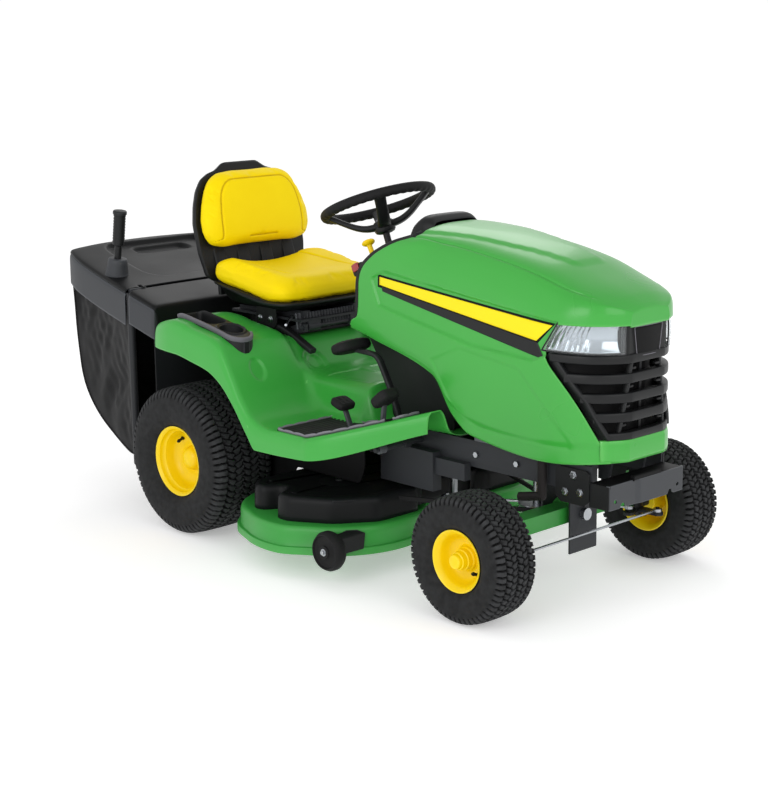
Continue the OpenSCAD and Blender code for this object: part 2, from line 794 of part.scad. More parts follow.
module tyre(x, y, z, d, w, rim_d) {
    outer = tyre_half(d, w, rim_d + 2 * seat_gap);
    inner = tyre_half(d - 2 * tyre_wall, w - 2 * tyre_wall, rim_d + 2 * seat_gap);
    ring = concat([for (p = outer) [p.x, -p.y]], [for (k = [6:-1:0]) outer[k]],
        inner, [for (k = [6:-1:0]) [inner[k].x, -inner[k].y]]);
    color("#1b1b1c") translate([x, y, z]) rotate([-90, 0, 0]) rotate_extrude($fn = 96) polygon(ring);
}

// Rim with its barrel, dished disc and hub; the disc faces outwards on side s
module rim(x, y, z, d, w, s, hub_d, bore, dish, hub_in, hub_out) {
    r = d / 2;
    half = 0.4 * w;
    color("#f0c914") translate([x, y, z]) rotate([-90 * s, 0, 0]) difference() {
        union() {
            difference() {
                translate([0, 0, -half]) cylinder(r = r, h = 2 * half);
                translate([0, 0, -half - 1]) cylinder(r = r - 5, h = 2 * half + 2);
            }
            for (e = [-1, 1]) translate([0, 0, e * (half + 3) - 3]) difference() {
                cylinder(r = r + 8, h = 6);
                translate([0, 0, -1]) cylinder(r = r - 6, h = 8);
            }
            translate([0, 0, dish]) cylinder(r = r - 2, h = 7);
            translate([0, 0, hub_in]) cylinder(d = hub_d, h = hub_out - hub_in);
        }
        translate([0, 0, hub_in - 1]) cylinder(d = bore, h = hub_out - hub_in + 2);
        for (a = [0:72:288]) rotate([0, 0, a]) translate([hub_d / 2 + (r - hub_d / 2) / 2, 0, dish - 1])
            cylinder(d = (r - hub_d / 2) / 2.6, h = 9);
    }
}

module front_tyre(s) {
    tyre(front_x, s * front_track / 2, front_z, front_tyre_d, front_tyre_w, front_rim_d);
}

module front_rim(s) {
    end = 62;
    start = kingpin_y + kingpin_d / 2 + 15 + hub_room - front_track / 2;
    rim(front_x, s * front_track / 2, front_z, front_rim_d, front_tyre_w, s, 62, spindle_d + 2 * run_gap, 8,
        start, end + 2);
    color("#f0c914") translate([front_x, s * front_track / 2, front_z]) rotate([-90 * s, 0, 0])
        translate([0, 0, end + 2 + seat_gap]) cylinder(d = 54, h = 10);
}

module front_tyre_right() {
    front_tyre(-1);
}

module front_tyre_left() {
    front_tyre(1);
}

module front_rim_right() {
    front_rim(-1);
}

module front_rim_left() {
    front_rim(1);
}

module rear_tyre(s) {
    tyre(rear_x, s * rear_track / 2, rear_z, rear_tyre_d, rear_tyre_w, rear_rim_d);
}

tube_y = rear_track / 2 - rear_tyre_w / 2 - 6;

module rear_rim(s) {
    y0 = 40;
    y1 = rear_track / 2 + 58;
    rim(rear_x, s * rear_track / 2, rear_z, rear_rim_d, rear_tyre_w, s, 76, rear_shaft_d, 20,
        -rear_track / 2 + tube_y + 8, 44);
    color("#9b9ea2") {
        rod_y(rear_x, rear_z, s > 0 ? y0 : -y1, s > 0 ? y1 : -y0, rear_shaft_d);
        translate([rear_x, s * (rear_track / 2 + 44), rear_z]) rotate([-90 * s, 0, 0]) {
            cylinder(d = 44, h = 8);
            for (a = [36:72:324]) rotate([0, 0, a]) translate([27, 0, 0]) cylinder(d = 13, h = 9, $fn = 6);
        }
    }
}

module rear_tyre_right() {
    rear_tyre(-1);
}

module rear_tyre_left() {
    rear_tyre(1);
}

module rear_rim_right() {
    rear_rim(-1);
}

module rear_rim_left() {
    rear_rim(1);
}

module transaxle() {
    top = rail_z - 8;
    bore = rear_shaft_d + 2 * run_gap;
    color("#55585b") difference() {
        union() {
            box([rear_x - 118, -rail_in + 12, rear_z - 70], [rear_x + 112, rail_in - 12, top]);
            rod_y(rear_x, rear_z, -tube_y, tube_y, rear_shaft_d + 46);
            for (s = [-1, 1]) box([rear_x - 60, s * (rail_y - 14) - 14, top - 40],
                [rear_x + 60, s * (rail_y - 14) + 14, rail_z - seat_gap]);
            box([rear_x - 300, -60, rear_z - 34], [rear_x - 110, 60, rear_z - 26]);
        }
        rod_y(rear_x, rear_z, -tube_y - 1, tube_y + 1, bore);
        post(rear_x - 280, 0, rear_z - 40, rear_z - 20, 19);
    }
}

// Mower deck
deck_back = 250;
deck_front = 200;

// Plan of the deck, drawn in from its rim
module lobes(inset) {
    for (s = [-1, 1]) translate([mid_x, s * spindle_y]) circle(r = lobe_r - inset, $fn = 96);
    translate([mid_x - deck_back + inset, -spindle_y])
        square([deck_back + deck_front - 2 * inset, spindle_span]);
}

module deck_shell() {
    rim_h = 24;
    step = 10;
    color("#3aa24a") difference() {
        union() {
            translate([0, 0, deck_z]) linear_extrude(rim_h) lobes(0);
            translate([0, 0, deck_z]) linear_extrude(deck_h) lobes(step);
            for (s = [-1, 1]) deck_lug(s);
            for (s = [-1, 1]) gauge_bracket(s);
        }
        translate([0, 0, deck_z - 1]) linear_extrude(rim_h - deck_t + 1) lobes(deck_t);
        translate([0, 0, deck_z - 1]) linear_extrude(deck_h - deck_t + 1) lobes(step + deck_t);
        for (s = [-1, 1]) post(mid_x, s * spindle_y, deck_top - 20, deck_top + 1, 62);
        box([mid_x - deck_back - 10, -chute_hw, deck_z + 12],
            [mid_x - deck_back + 30, chute_hw, deck_top - deck_t - 2]);
    }
}

// Lug with a slot that takes the pin of a lift arm
module deck_lug(s) {
    x = lift_x - lift_arm_x;
    z = lift_z - lift_arm_z;
    run = lift_arm_x - sqrt(pow(norm([lift_arm_x, lift_arm_z]), 2) - pow(lift_arm_z + deck_travel, 2));
    slot = lift_pin_d + 4.6;
    slot_z = z + lift_pin_d / 2 + 0.3 - slot / 2;
    y0 = s * lug_y - lug_t / 2;
    belt_x = mid_x - pulley_r;
    difference() {
        box([x - 24, y0, deck_top - 1], [x + run + 26, y0 + lug_t, z + 24]);
        for (e = [-4, run + 6]) rod_y(x + e, slot_z, y0 - 1, y0 + lug_t + 1, slot);
        box([x - 4, y0 - 1, slot_z - slot / 2], [x + run + 6, y0 + lug_t + 1, slot_z + slot / 2]);
        box([belt_x - 16, y0 - 1, belt_z - 6], [belt_x + 8, y0 + lug_t + 1, belt_z + belt_w + 6]);
    }
}

gauge_z = deck_z + 36;
gauge_w = 46;

module gauge_bracket(s) {
    y1 = gauge_y - gauge_w / 2 - side_gap;
    mirror([0, (1 - s) / 2, 0]) {
        box([gauge_x - 14, spindle_y + lobe_r * 0.4, gauge_z - 14], [gauge_x + 14, y1, deck_top - 8]);
        rod_y(gauge_x, gauge_z, y1 - 1, gauge_y + gauge_w / 2 + 7, 14);
    }
}

module gauge_wheel(s) {
    color("#1c1d1f") translate([gauge_x, s * gauge_y, gauge_z]) rotate([90, 0, 0]) difference() {
        union() {
            cylinder(d = gauge_d, h = gauge_w - 16, center = true);
            cylinder(d = gauge_d - 14, h = gauge_w - 4, center = true);
            cylinder(d = 40, h = gauge_w, center = true);
        }
        cylinder(d = 14 + 2 * run_gap, h = gauge_w + 2, center = true);
    }
}

module gauge_wheel_right() {
    gauge_wheel(-1);
}

module gauge_wheel_left() {
    gauge_wheel(1);
}

// Half plan of the belt cover, from the middle of its front to the middle of its back
function cover_half(s) = [[195, 118], [240, 150], [240, 318], [155, 436], [30, 506], [-130, 486], [-200, 420],
    [-200, 0]] * [[1, 0], [0, s]];

module cover_plan() {
    translate([mid_x, 0]) polygon(concat([[195, 0]], cover_half(1), [for (k = [6:-1:0]) cover_half(-1)[k]]));
}

module deck_cover() {
    z0 = deck_top + seat_gap;
    color("#1d1e20") difference() {
        translate([0, 0, z0]) linear_extrude(cover_h) cover_plan();
        translate([0, 0, z0 - 1]) linear_extrude(cover_h - panel_t + 1) offset(delta = -panel_t) cover_plan();
        box([mid_x + 150, -270, z0 - 1], [mid_x + 260, 270, belt_z + belt_w + 8]);
        for (s = [-1, 1]) box([lift_x - lift_arm_x - 30, s * lug_y - 6, z0],
            [lift_x - lift_arm_x + 86, s * lug_y + 6, z0 + cover_h + 1]);
    }
}

module belt_plan(extra) {
    hull() {
        for (s = [-1, 1]) translate([mid_x, s * spindle_y]) circle(r = pulley_r + extra);
        translate([engine_x, 0]) circle(r = engine_pulley_r + extra);
    }
}

module deck_belt() {
    color("#151515") translate([0, 0, belt_z]) linear_extrude(belt_w) difference() {
        belt_plan(8);
        belt_plan(1);
    }
}

module spindle_housings() {
    color("#85888c") for (s = [-1, 1]) difference() {
        union() {
            post(mid_x, s * spindle_y, deck_top + seat_gap, deck_top + 11, 128);
            post(mid_x, s * spindle_y, deck_top + 10, deck_top + housing_h, 74);
        }
        post(mid_x, s * spindle_y, deck_top - 1, deck_top + housing_h + 1, blade_shaft_d + 2 * run_gap);
    }
}

// Belt pulley with a flange above and below the belt
module pulley(x, y, r) {
    post(x, y, pulley_z, pulley_z + pulley_t, 2 * r);
    post(x, y, pulley_z, pulley_z + 3, 2 * r + 12);
    post(x, y, pulley_z + pulley_t - 3, pulley_z + pulley_t, 2 * r + 12);
}

module blade(s, turn) {
    z = deck_z + 24;
    color("#9ea1a5") {
        post(mid_x, s * spindle_y, z - 6, pulley_z + pulley_t + 4, blade_shaft_d);
        post(mid_x, s * spindle_y, z + 5, deck_top - deck_t - 4, 48);
        pulley(mid_x, s * spindle_y, pulley_r);
        translate([mid_x, s * spindle_y, z]) rotate([0, 0, turn]) translate([-blade_l / 2, -blade_w / 2, 0])
            cube([blade_l, blade_w, 5.5]);
    }
}

module blade_right() {
    blade(-1, 0);
}

module blade_left() {
    blade(1, 90);
}

module engine_pulley() {
    color("#8f9296") {
        pulley(engine_x, 0, engine_pulley_r);
        post(engine_x, 0, pulley_z - 4, rail_top + 52, column_d + 10);
    }
}

// Bar in the XZ plane between two points, for arms on a cross shaft
module side_bar(a, b, w, y, t) {
    v = b - a;
    translate([a.x, y + t / 2, a.y]) rotate([90, -atan2(v.y, v.x), 0]) linear_extrude(t)
        bar_outline(norm(v), w, true);
}

module lift_shaft() {
    a = [lift_x, lift_z];
    b = [lift_x - lift_arm_x, lift_z - lift_arm_z];
    color("#2a2c2e") {
        rod_y(lift_x, lift_z, -rail_y - 12, rail_y + 12, lift_shaft_d);
        for (s = [-1, 1]) {
            side_bar(a, b, 34, s * lift_arm_y, 8);
            rod_y(b.x, b.y, s > 0 ? lift_arm_y : -rail_in + 2, s > 0 ? rail_in - 2 : -lift_arm_y, lift_pin_d);
            rod_y(lift_x, lift_z, s * (rail_y + 7) - 6, s * (rail_y + 7) + 6, lift_shaft_d + 14);
        }
    }
}

// Pedals
// Pedal on a shaft across the frame: hub, arm and a pad that leans back
module pedal(x, y, pad, size, lean) {
    hub_w = 26;
    difference() {
        union() {
            rod_y(x, pedal_z, y - hub_w / 2, y + hub_w / 2, pedal_shaft_d + 13);
            rod([x, y, pedal_z + 4], [pad.x, y, pad.y], 13);
            translate([pad.x, y, pad.y]) rotate([0, lean, 0]) translate(-size / 2) cube(size);
        }
        rod_y(x, pedal_z, y - hub_w, y + hub_w, pedal_shaft_d + 2 * run_gap);
    }
}

forward_y = -330;
lift_y = -228;
brake_y = 300;

module forward_pedal() {
    color("#1d1e20") pedal(pedal_x, forward_y, [pedal_x + 19, 556], [74, 70, 16], -38);
}

module reverse_pedal() {
    color("#1d1e20") pedal(reverse_x, forward_y, [reverse_x - 47, 512], [58, 66, 15], 20);
}

module lift_pedal() {
    color("#1d1e20") pedal(pedal_x, lift_y, [pedal_x - 238, 664], [66, 128, 18], -20);
}

module brake_pedal() {
    color("#1d1e20") pedal(pedal_x, brake_y, [pedal_x + 26, 560], [80, 96, 16], -38);
}

// Fenders and footboards
fender_x = [-150, -115, -60, 0, 40, 80, 140, 200, 235, 262, 300, 320, 340, 385, 430, 480, 550, 620, 660,
    760, 860, 960];

// Top of the fender and of the footboard along the machine
function fender_top(x) = lookup(x, [[-150, fender_z - 57], [-115, fender_z - 30], [-60, fender_z - 10],
    [0, fender_z], [40, fender_z - 4], [80, fender_z - 14], [200, fender_z - 36], [235, fender_z - 54],
    [262, fender_z - 88], [300, board_z + 137], [340, board_z + 72], [385, board_z + 25], [430, board_z + 6],
    [480, board_z], [620, board_z], [660, board_z + ramp_rise / 11], [960, board_z + ramp_rise]]);

// Lower edge of the outer skirt
function skirt_low(x) = lookup(x, [[-150, fender_z - 102], [20, fender_z - 108], [107, fender_z - 123],
    [183, fender_z - 140], [240, fender_z - 169], [303, board_z + 59], [372, board_z - 30],
    [410, board_z - 72], [640, board_z - 64], [960, board_z + ramp_rise - 64]]);

// Outer edge in plan
function fender_edge(x) = lookup(x, [[-150, fender_hw - 44], [-100, fender_hw - 14], [-20, fender_hw - 2],
    [60, fender_hw], [660, fender_hw], [960, fender_hw - 205]]);

// Height of the middle: seat platform, tunnel, then the floor under the dash
function middle_top(x) = lookup(x, [[-150, platform_z], [200, platform_z], [320, tunnel_z + 8],
    [360, tunnel_z], [600, tunnel_z], [660, floor_z], [960, floor_z]]);

// Half row of the moulding, from the skirt inwards; d is the depth below the outer face
function fender_half(x, d) =
    let (e = fender_edge(x), z = fender_top(x), m = middle_top(x), side = z > m ? d : -d)
    [[e + 2 - d, skirt_low(x)], [e - d, z - 16], [e - 14 - d / 2, z - d],
        [tunnel_hw + 36 + 0.8 * side, z - d], [tunnel_hw + 0.8 * side, m - d]];

function fender_row(x, d) =
    let (h = fender_half(x, d))
    concat([for (p = h) [rear_x + x, p.x, p.y]], [for (k = [4:-1:0]) [rear_x + x, -h[k].x, h[k].y]]);

module fender_deck() {
    color("#3aa24a") difference() {
        sheet([for (x = fender_x) fender_row(x, 0)], [for (x = fender_x) fender_row(x, panel_t)]);
        post(cap_x, cap_y, fender_z - 40, fender_z + 20, 54);
        post(pinion_x, 0, floor_z - 20, floor_z + 20, column_d + 36);
        for (s = [-1, 1]) post(rear_x + cup_x, s * (tray_y0 + tray_y1) / 2, cup_z - 20, fender_z + 40,
            cup_d + 2 * panel_t + 2);
        pedal_slot(pedal_x, forward_y, -14, 46);
        pedal_slot(pedal_x, lift_y, -116, 2);
        pedal_slot(pedal_x, brake_y, -14, 52);
        pedal_slot(reverse_x, forward_y, -42, 8);
    }
}

module pedal_slot(x, y, back, ahead) {
    box([x + back, y - 11, board_z - 20], [x + ahead, y + 11, fender_top(x + ahead - rear_x) + 20]);
}

mat_x = [490, 620, 660, 880];
mat_t = 6;

module foot_mats() {
    inner = tunnel_hw + 48;
    outer = fender_hw - 22;
    plan = [[490, inner], [880, inner], [880, fender_edge(880) - 22], [660, outer], [490, outer]];
    low = [for (x = mat_x) [rear_x + x, fender_top(x) + seat_gap]];
    high = [for (k = [len(mat_x) - 1:-1:0]) [rear_x + mat_x[k], fender_top(mat_x[k]) + seat_gap + mat_t]];
    color("#202123") for (s = [-1, 1]) difference() {
        intersection() {
            translate([rear_x, 0, board_z - 10]) mirror([0, (1 - s) / 2, 0]) linear_extrude(ramp_rise + 40)
                polygon(plan);
            profile(concat(low, high), -fender_hw, fender_hw);
        }
        pedal_slot(pedal_x, forward_y, -18, 50);
        pedal_slot(pedal_x, brake_y, -18, 56);
        pedal_slot(reverse_x, forward_y, -46, 12);
        pedal_slot(pedal_x, lift_y, -120, 6);
    }
}

tray_y0 = 338;
tray_y1 = 440;
cup_x = 186;
cup_z = fender_z - 106;
tray_x = [-40, -10, 0, 40, 80, 140, 200, 235, 262];

// Top of the tray: along the fender first, then over the slope
function tray_top(x) = lookup(x, [[-40, fender_z], [-10, fender_z + 14], [60, fender_z + 4],
    [200, fender_z - 22], [262, fender_z - 34]]);

module fender_trays() {
    base = [for (x = tray_x) [rear_x + x, fender_top(x) + seat_gap]];
    top = [for (k = [len(tray_x) - 1:-1:0]) [rear_x + tray_x[k], tray_top(tray_x[k])]];
    y = (tray_y0 + tray_y1) / 2;
    floor_line = [for (x = [-14, 0, 40, 80]) [rear_x + x, fender_top(x) + 4]];
    over = [[rear_x + 80, fender_z + 60], [rear_x - 14, fender_z + 60]];
    color("#1c1d1f") for (s = [-1, 1]) mirror([0, (1 - s) / 2, 0]) difference() {
        union() {
            profile(concat(base, top), tray_y0, tray_y1);
            post(rear_x + cup_x, y, cup_z, tray_top(cup_x + cup_d / 2 + panel_t), cup_d + 2 * panel_t);
        }
        post(rear_x + cup_x, y, cup_z + panel_t, fender_z + 40, cup_d);
        profile(concat(floor_line, over), tray_y0 + 10, tray_y1 - 10);
    }
}

// Seat
module seat_bracket() {
    z0 = platform_z + seat_gap;
    color("#232527") {
        box([rear_x - 100, -150, z0], [rear_x + 192, 150, z0 + 8]);
        for (s = [-1, 1]) difference() {
            profile([[rear_x + 120, z0 + 7], [rear_x + 192, z0 + 7], [hinge_rod_x + 14, hinge_rod_z - 12],
                [hinge_rod_x + 14, hinge_rod_z + 12], [hinge_rod_x - 14, hinge_rod_z + 12]],
                s * 130 - 4, s * 130 + 4);
            rod_y(hinge_rod_x, hinge_rod_z, -140, 140, hinge_rod_d + 2 * seat_gap);
        }
        rod_y(hinge_rod_x, hinge_rod_z, -140, 140, hinge_rod_d);
        for (s = [-1, 1]) post(rear_x - 60, s * 90, z0 + 7, seat_z - 32 - seat_gap, 36);
    }
}

module seat_slide() {
    plate_z = seat_z - 32;
    color("#2b2d30") difference() {
        union() {
            box([rear_x - 110, -150, plate_z], [hinge_rod_x + 10, 150, plate_z + 8]);
            for (s = [-1, 1]) {
                box([rear_x - 100, s * 110 - 14, plate_z + 7],
                    [rear_x + 230, s * 110 + 14, seat_z - seat_gap]);
                rod_y(hinge_rod_x, hinge_rod_z, s * 92 - 26, s * 92 + 26, hinge_rod_d + 14);
                box([hinge_rod_x - 12, s * 92 - 26, hinge_rod_z],
                    [hinge_rod_x + 10, s * 92 + 26, plate_z + 1]);
            }
        }
        rod_y(hinge_rod_x, hinge_rod_z, -160, 160, hinge_rod_d + 2 * run_gap);
    }
}

pan_h = 36;
back_x = rear_x - 130;
back_z = seat_z + 30;

// Places children with Z up the lean of the backrest
module on_back() {
    translate([back_x, 0, back_z]) rotate([0, -backrest_tilt, 0]) children();
}

module seat_shell() {
    hw = cushion_w / 2 + 6;
    pan_hw = tunnel_hw + 14;
    color("#1a1b1d") {
        hull() for (x = [rear_x - 90, rear_x + 80 + cushion_l / 2 - 60], y = [-pan_hw + 60, pan_hw - 60])
            post(x, y, seat_z, seat_z + pan_h, 120, $fn = 32);
        on_back() {
            hull() for (y = [-hw + 76, hw - 76], z = [96, 432 - 70])
                translate([-36, y, z]) rotate([0, 90, 0]) cylinder(r = 70, h = 26, $fn = 32);
            for (y = [-150, -50, 50, 150]) box([-36, y - 26, -6], [-10, y + 26, 120]);
        }
    }
}

// One ring of a cushion at station u, from -1 to 1 along its length
// w and h are the half-width and height, sag the depth of the welt lines, roll the bolster rise
function cushion_ring(u, w, h, draw, sag, roll) =
    let (end = pow(1 - pow(abs(u), 4), 0.25), hw = w * (1 - draw * (1 - end)))
    concat([for (k = [0:14]) let (a = 180 * k / 14, c = cos(a), v = sign(c) * pow(abs(c), 0.62))
            let (edge = pow(sin(a), 0.42), bolster = roll * pow(abs(v), 3) * (1 - pow(abs(v), 10)))
            let (channel = sag * (bell(abs(v) - 0.66) + bell(abs(u) - 0.72) * (abs(v) < 0.66 ? 1 : 0)))
            let (top = h * (0.34 + 0.66 * edge * end) + (bolster - channel) * end)
            [hw * v * (0.94 + 0.06 * edge), max(0.12 * h, top)]],
        [[-0.9 * hw, 0], [0.9 * hw, 0]]);

// Bell curve for the section of a welt line
function bell(t) = exp(-pow(t / 0.05, 2));

function cushion_rings(l, w, h, draw, sag, roll, n) =
    [for (i = [0:n]) let (u = -cos(180 * i / n) * 0.995)
        [for (p = cushion_ring(u, w, h, draw, sag, roll)) [u * l / 2, p.x, p.y]]];

module seat_cushion() {
    color("#f4d40c") translate([rear_x + 80, 0, seat_z + pan_h + seat_gap])
        loft(cushion_rings(cushion_l, cushion_w / 2, cushion_t, 0.22, 5, 12, 24));
}

module seat_backrest() {
    color("#f4d40c") on_back() translate([-10 + seat_gap, 0, 112 + backrest_h / 2]) rotate([0, 90, 0])
        loft(cushion_rings(backrest_h, cushion_w / 2 - 4, backrest_t, 0.3, 4, 8, 24));
}

// Hood
// Half-width of the hood at a distance n behind the nose
function hood_w(n) = nose_hw + (hood_hw - nose_hw) * lookup(n, [[0, 0], [8, 0.16], [22, 0.34], [45, 0.55],
    [75, 0.72], [110, 0.84], [155, 0.93], [210, 0.98], [260, 1], [726, 1], [960, 0.965]]);

// Height of the hood's middle line
function hood_top(n) = hood_nose_z + (hood_rear_z - hood_nose_z) * lookup(n, [[0, 0], [10, 0.06], [45, 0.2],
    [145, 0.43], [265, 0.66], [415, 0.83], [595, 0.965], [726, 1]]);

function hood_low(n) = lookup(n, [[24, chin_z], [210, chin_z - 12], [486, chin_z + 18], [561, chin_z + 68],
    [643, chin_z + 177], [902, chin_z + 252]]);

// Lines of the hood from the middle to the lower edge: share of the half-width
hood_share = [0, 0.42, 0.8, 0.96, 0.995, 1, 0.985, 0.955];
hood_round = function (n) lookup(n, [[0, 0.3], [60, 0.7], [200, 1]]);

function hood_line_z(j, n) =
    j < 3 ? hood_top(min(n, 726)) - [0, 3, 24][j] * hood_round(n) :
    j == 3 ? hood_top(min(n, 726)) - 24 * hood_round(n)
        - 66 * pow(hood_round(n), 2) * lookup(n, [[0, 0.2], [155, 0.8], [300, 1]]) :
    j == 4 ? lookup(n, [[0, lamp_z1 + 0.4], [155, lamp_z1 + 0.4], [450, lamp_z1 + 52], [950, lamp_z1 + 77]]) :
    j == 5 ? lookup(n, [[210, lamp_z0 - 4], [940, lamp_z0 + 17]]) :
    j == 6 ? lookup(n, [[100, 610], [400, 604], [561, 622], [643, 664], [910, 726]]) : hood_low(n);

hood_n = nose_x - dash_x1 - 4;
hood_back = [hood_n, hood_n, hood_n, nose_x - (dash_x0 + dash_x1) / 2, nose_x - dash_x0 - 8,
    nose_x - dash_x0 - 2, nose_x - dash_x0 + 34, nose_x - dash_x0 + 50];
hood_ahead = [155, 155, 155, 155, 155, 210, 100, 24];

// Point on hood line j at distance n, sunk by depth d; s is the side
function hood_point(j, n, d, s) =
    let (w = hood_w(n), z = hood_line_z(j, n), back = j == 3 ? (dash_z0 + dash_z1) / 2 + 32 : z)
    let (zz = j == 3 && n > hood_n + 40 ? back : z)
    [nose_x - n, s * max(0, w * hood_share[j] - (j < 2 ? 0 : d)), zz - (j < 4 ? d : 0)];

function hood_row(ns, count, d) = concat([for (j = [count - 1:-1:0]) hood_point(j, ns[j], d, 1)],
    [for (j = [1:count - 1]) hood_point(j, ns[j], d, -1)]);

module hood_shell() {
    steps = [0, 0.1, 0.2, 0.295, 0.388, 0.474, 0.56, 0.66, 0.76, 0.86, 0.94, 1];
    rows = [for (u = steps) [for (j = [0:7]) hood_back[j] + (hood_ahead[j] - hood_back[j]) * u]];
    nose = [for (n = [155 - seat_gap, 110, 75, 45, 22, 8, 0]) [for (j = [0:4]) n]];
    color("#3aa24a") {
        sheet([for (r = rows) hood_row(r, 8, 0)], [for (r = rows) hood_row(r, 8, panel_t)]);
        sheet([for (r = nose) hood_row(r, 5, 0)], [for (r = nose) hood_row(r, 5, panel_t)]);
        hood_chin();
    }
}

// Plan band along the nose from distance n to the middle and back, between two depths
function nose_band(n, share, d0, d1) =
    let (ns = [for (k = [0:6]) n * pow(1 - k / 6, 2)])
    let (out = [for (m = ns) [nose_x - m - d0, hood_w(m) * share - d0]])
    let (inn = [for (m = ns) [nose_x - m - d1, hood_w(m) * share - d1]])
    concat(out, [for (k = [6:-1:0]) [out[k].x, -out[k].y]], [for (p = inn) [p.x, -p.y]],
        [for (k = [6:-1:0]) inn[k]]);

module hood_chin() {
    difference() {
        union() {
            translate([0, 0, chin_z]) linear_extrude(grille_z0 - chin_z - seat_gap)
                polygon(nose_band(22, 0.95, 2, 8));
            for (s = [-1, 1]) box([hood_hinge_x - 14, s * 96 - 6, hood_hinge_z - 14],
                [nose_x - 5, s * 96 + 6, hood_hinge_z + 14]);
        }
        rod_y(hood_hinge_x, hood_hinge_z, -120, 120, hinge_rod_d + 2 * run_gap);
    }
}

// Farthest reach of the grille round the corner at height z
function grille_reach(z) = lookup(z, [[grille_z0, 44], [610, 92], [lamp_z0, 196]]);

module grille() {
    pitch = (lamp_z0 - grille_z0) / grille_bars;
    color("#17181a") {
        for (k = [0:grille_bars]) let (z = grille_z0 + k * pitch)
            translate([0, 0, min(z, lamp_z0 - 14 - seat_gap)]) linear_extrude(14)
                polygon(nose_band(grille_reach(z), 0.97, 5, 24));
        for (y = [-66, 0, 66]) box([nose_x - 30, y - 5, grille_z0], [nose_x - 23, y + 5, lamp_z0 - 2]);
        box([nose_x - 24, -nose_hw + 20, lamp_z0 - 2], [nose_x - 6, nose_hw - 20, lamp_z1]);
        box([nose_x - 8, -66, lamp_z0 - 10], [nose_x - 2, 66, lamp_z1 - 12]);
    }
}

module headlights() {
    ns = [for (k = [0:6]) 3 + 148 * pow(k / 6, 1.6)];
    out = [for (m = ns) [nose_x - m - 3, hood_w(m) * 0.985 - 2]];
    inn = [for (k = [6:-1:0]) [nose_x - ns[k] - 28, hood_w(ns[k]) * 0.985 - 26]];
    color("#cfd4d8") for (s = [-1, 1]) mirror([0, (1 - s) / 2, 0])
        translate([0, 0, lamp_z0]) linear_extrude(lamp_z1 - lamp_z0) polygon(concat(out, inn));
}

// Collector
cover_x1 = hopper_hinge_x - 9;
hopper_pivot_z = hopper_hinge_z - 12;
guide_top = 16;
cover_l = cover_x1 - hopper_back_x;

// Height of the cover's side edge and half-width at a distance along it from the back
function cover_run(x) = (x - hopper_back_x) / cover_l;
function hopper_edge_z(x) = hopper_rear_z - 10 + (hopper_hinge_z - 4 - hopper_rear_z + 10) * cover_run(x);
function hopper_hw(x) = hopper_rear_hw + (hopper_front_hw - hopper_rear_hw) * cover_run(x);

// Row of the cover: x, half-width, lower edge, side edge and crown; bow curves the row back in the middle
function cover_row(x, w, z0, z1, crown, bow, d) =
    let (half = [[w + 2 - d, z0], [w - d, max(z0, z1 - 12)], [w - 14 - d / 2, max(z0, z1 - d)],
        [0.55 * w, max(z0, z1 + 0.8 * crown - d)]])
    let (place = function (y, z) [x + bow * pow(y / w, 2), y, z])
    concat([for (p = half) place(p.x, p.y)], [place(0, max(z0, z1 + crown - d))],
        [for (k = [3:-1:0]) place(-half[k].x, half[k].y)]);

// The cover's grid, sunk by depth d
function cover_rows(d) =
    let (xs = [24, 120, 250, 380, cover_l], crown = [8, 12, 12, 9, 4], bow = [56, 36, 12, 0, 0])
    let (x0 = hopper_back_x + d, w0 = hopper_rear_hw - 26, z0 = hopper_edge_z(hopper_back_x))
    concat([cover_row(x0, w0, z0 - hopper_band, z0 - hopper_band, 0, 60, d)],
        [cover_row(x0, w0, z0 - hopper_band, z0 - 14, 2, 60, d)],
        [for (k = [0:4]) let (x = hopper_back_x + xs[k], z = hopper_edge_z(x))
            cover_row(x, hopper_hw(x) - (k == 0 ? 14 : 0), z - hopper_band, z, crown[k], bow[k], d)]);

module hopper_cover() {
    color("#1e1f21") {
        difference() {
            sheet(cover_rows(0), cover_rows(panel_t));
            on_handle() cylinder(d = 60 + 2 * seat_gap, h = 200, center = true);
            for (s = [-1, 1]) box([cover_x1 - 14, s * ear_y - 4 - side_gap, hopper_hinge_z - 60],
                [cover_x1 + 1, s * ear_y + 4 + side_gap, hopper_hinge_z + 30]);
        }
        difference() {
            on_handle() {
                translate([0, 0, -guide_top]) cylinder(d = 60, h = 6 + guide_top);
                translate([0, 0, 5]) cylinder(d1 = 58, d2 = 30, h = 46);
            }
            on_handle() cylinder(d = handle_d + 2 * run_gap, h = 200, center = true);
        }
    }
}

handle_lean = 9;
handle_z = hopper_edge_z(handle_x) - 2;

// Places children with Z up the handle and the origin on the cover
module on_handle() {
    translate([handle_x, handle_y, handle_z]) rotate([0, handle_lean, 0]) children();
}

module hopper_handle() {
    color("#222325") on_handle() {
        translate([0, 0, -handle_travel - 40]) cylinder(d = handle_d, h = handle_travel + 250);
        translate([0, 0, 150]) cylinder(d = 28, h = 74);
    }
}

// Ring of the bag at x: half-width, floor and top
function bag_ring(x, w, z0, z1) = [[x, w, z0], [x, w, z1], [x, -w, z1], [x, -w, z0]];

// Rings of the bag's outside, drawn in by d
function bag_rings(d) =
    let (rear = hopper_back_x + 94 + d)
    let (ahead = hopper_hinge_x - hopper_tube_d / 2 - seat_gap + (d > 0 ? 40 : 0))
    [for (p = [[rear, bag_z + 364, 24], [hopper_back_x + 146, bag_z + 140, 22],
            [hopper_hinge_x - 70, bag_z + 6, 16], [ahead, bag_z, 16]])
        bag_ring(p[0], hopper_hw(p[0]) - p[2] - d, p[1] + d, hopper_edge_z(p[0]) - 34 + 20 * d)];

module hopper_bag() {
    color("#232425") difference() {
        loft(bag_rings(0));
        loft(bag_rings(panel_t));
    }
}

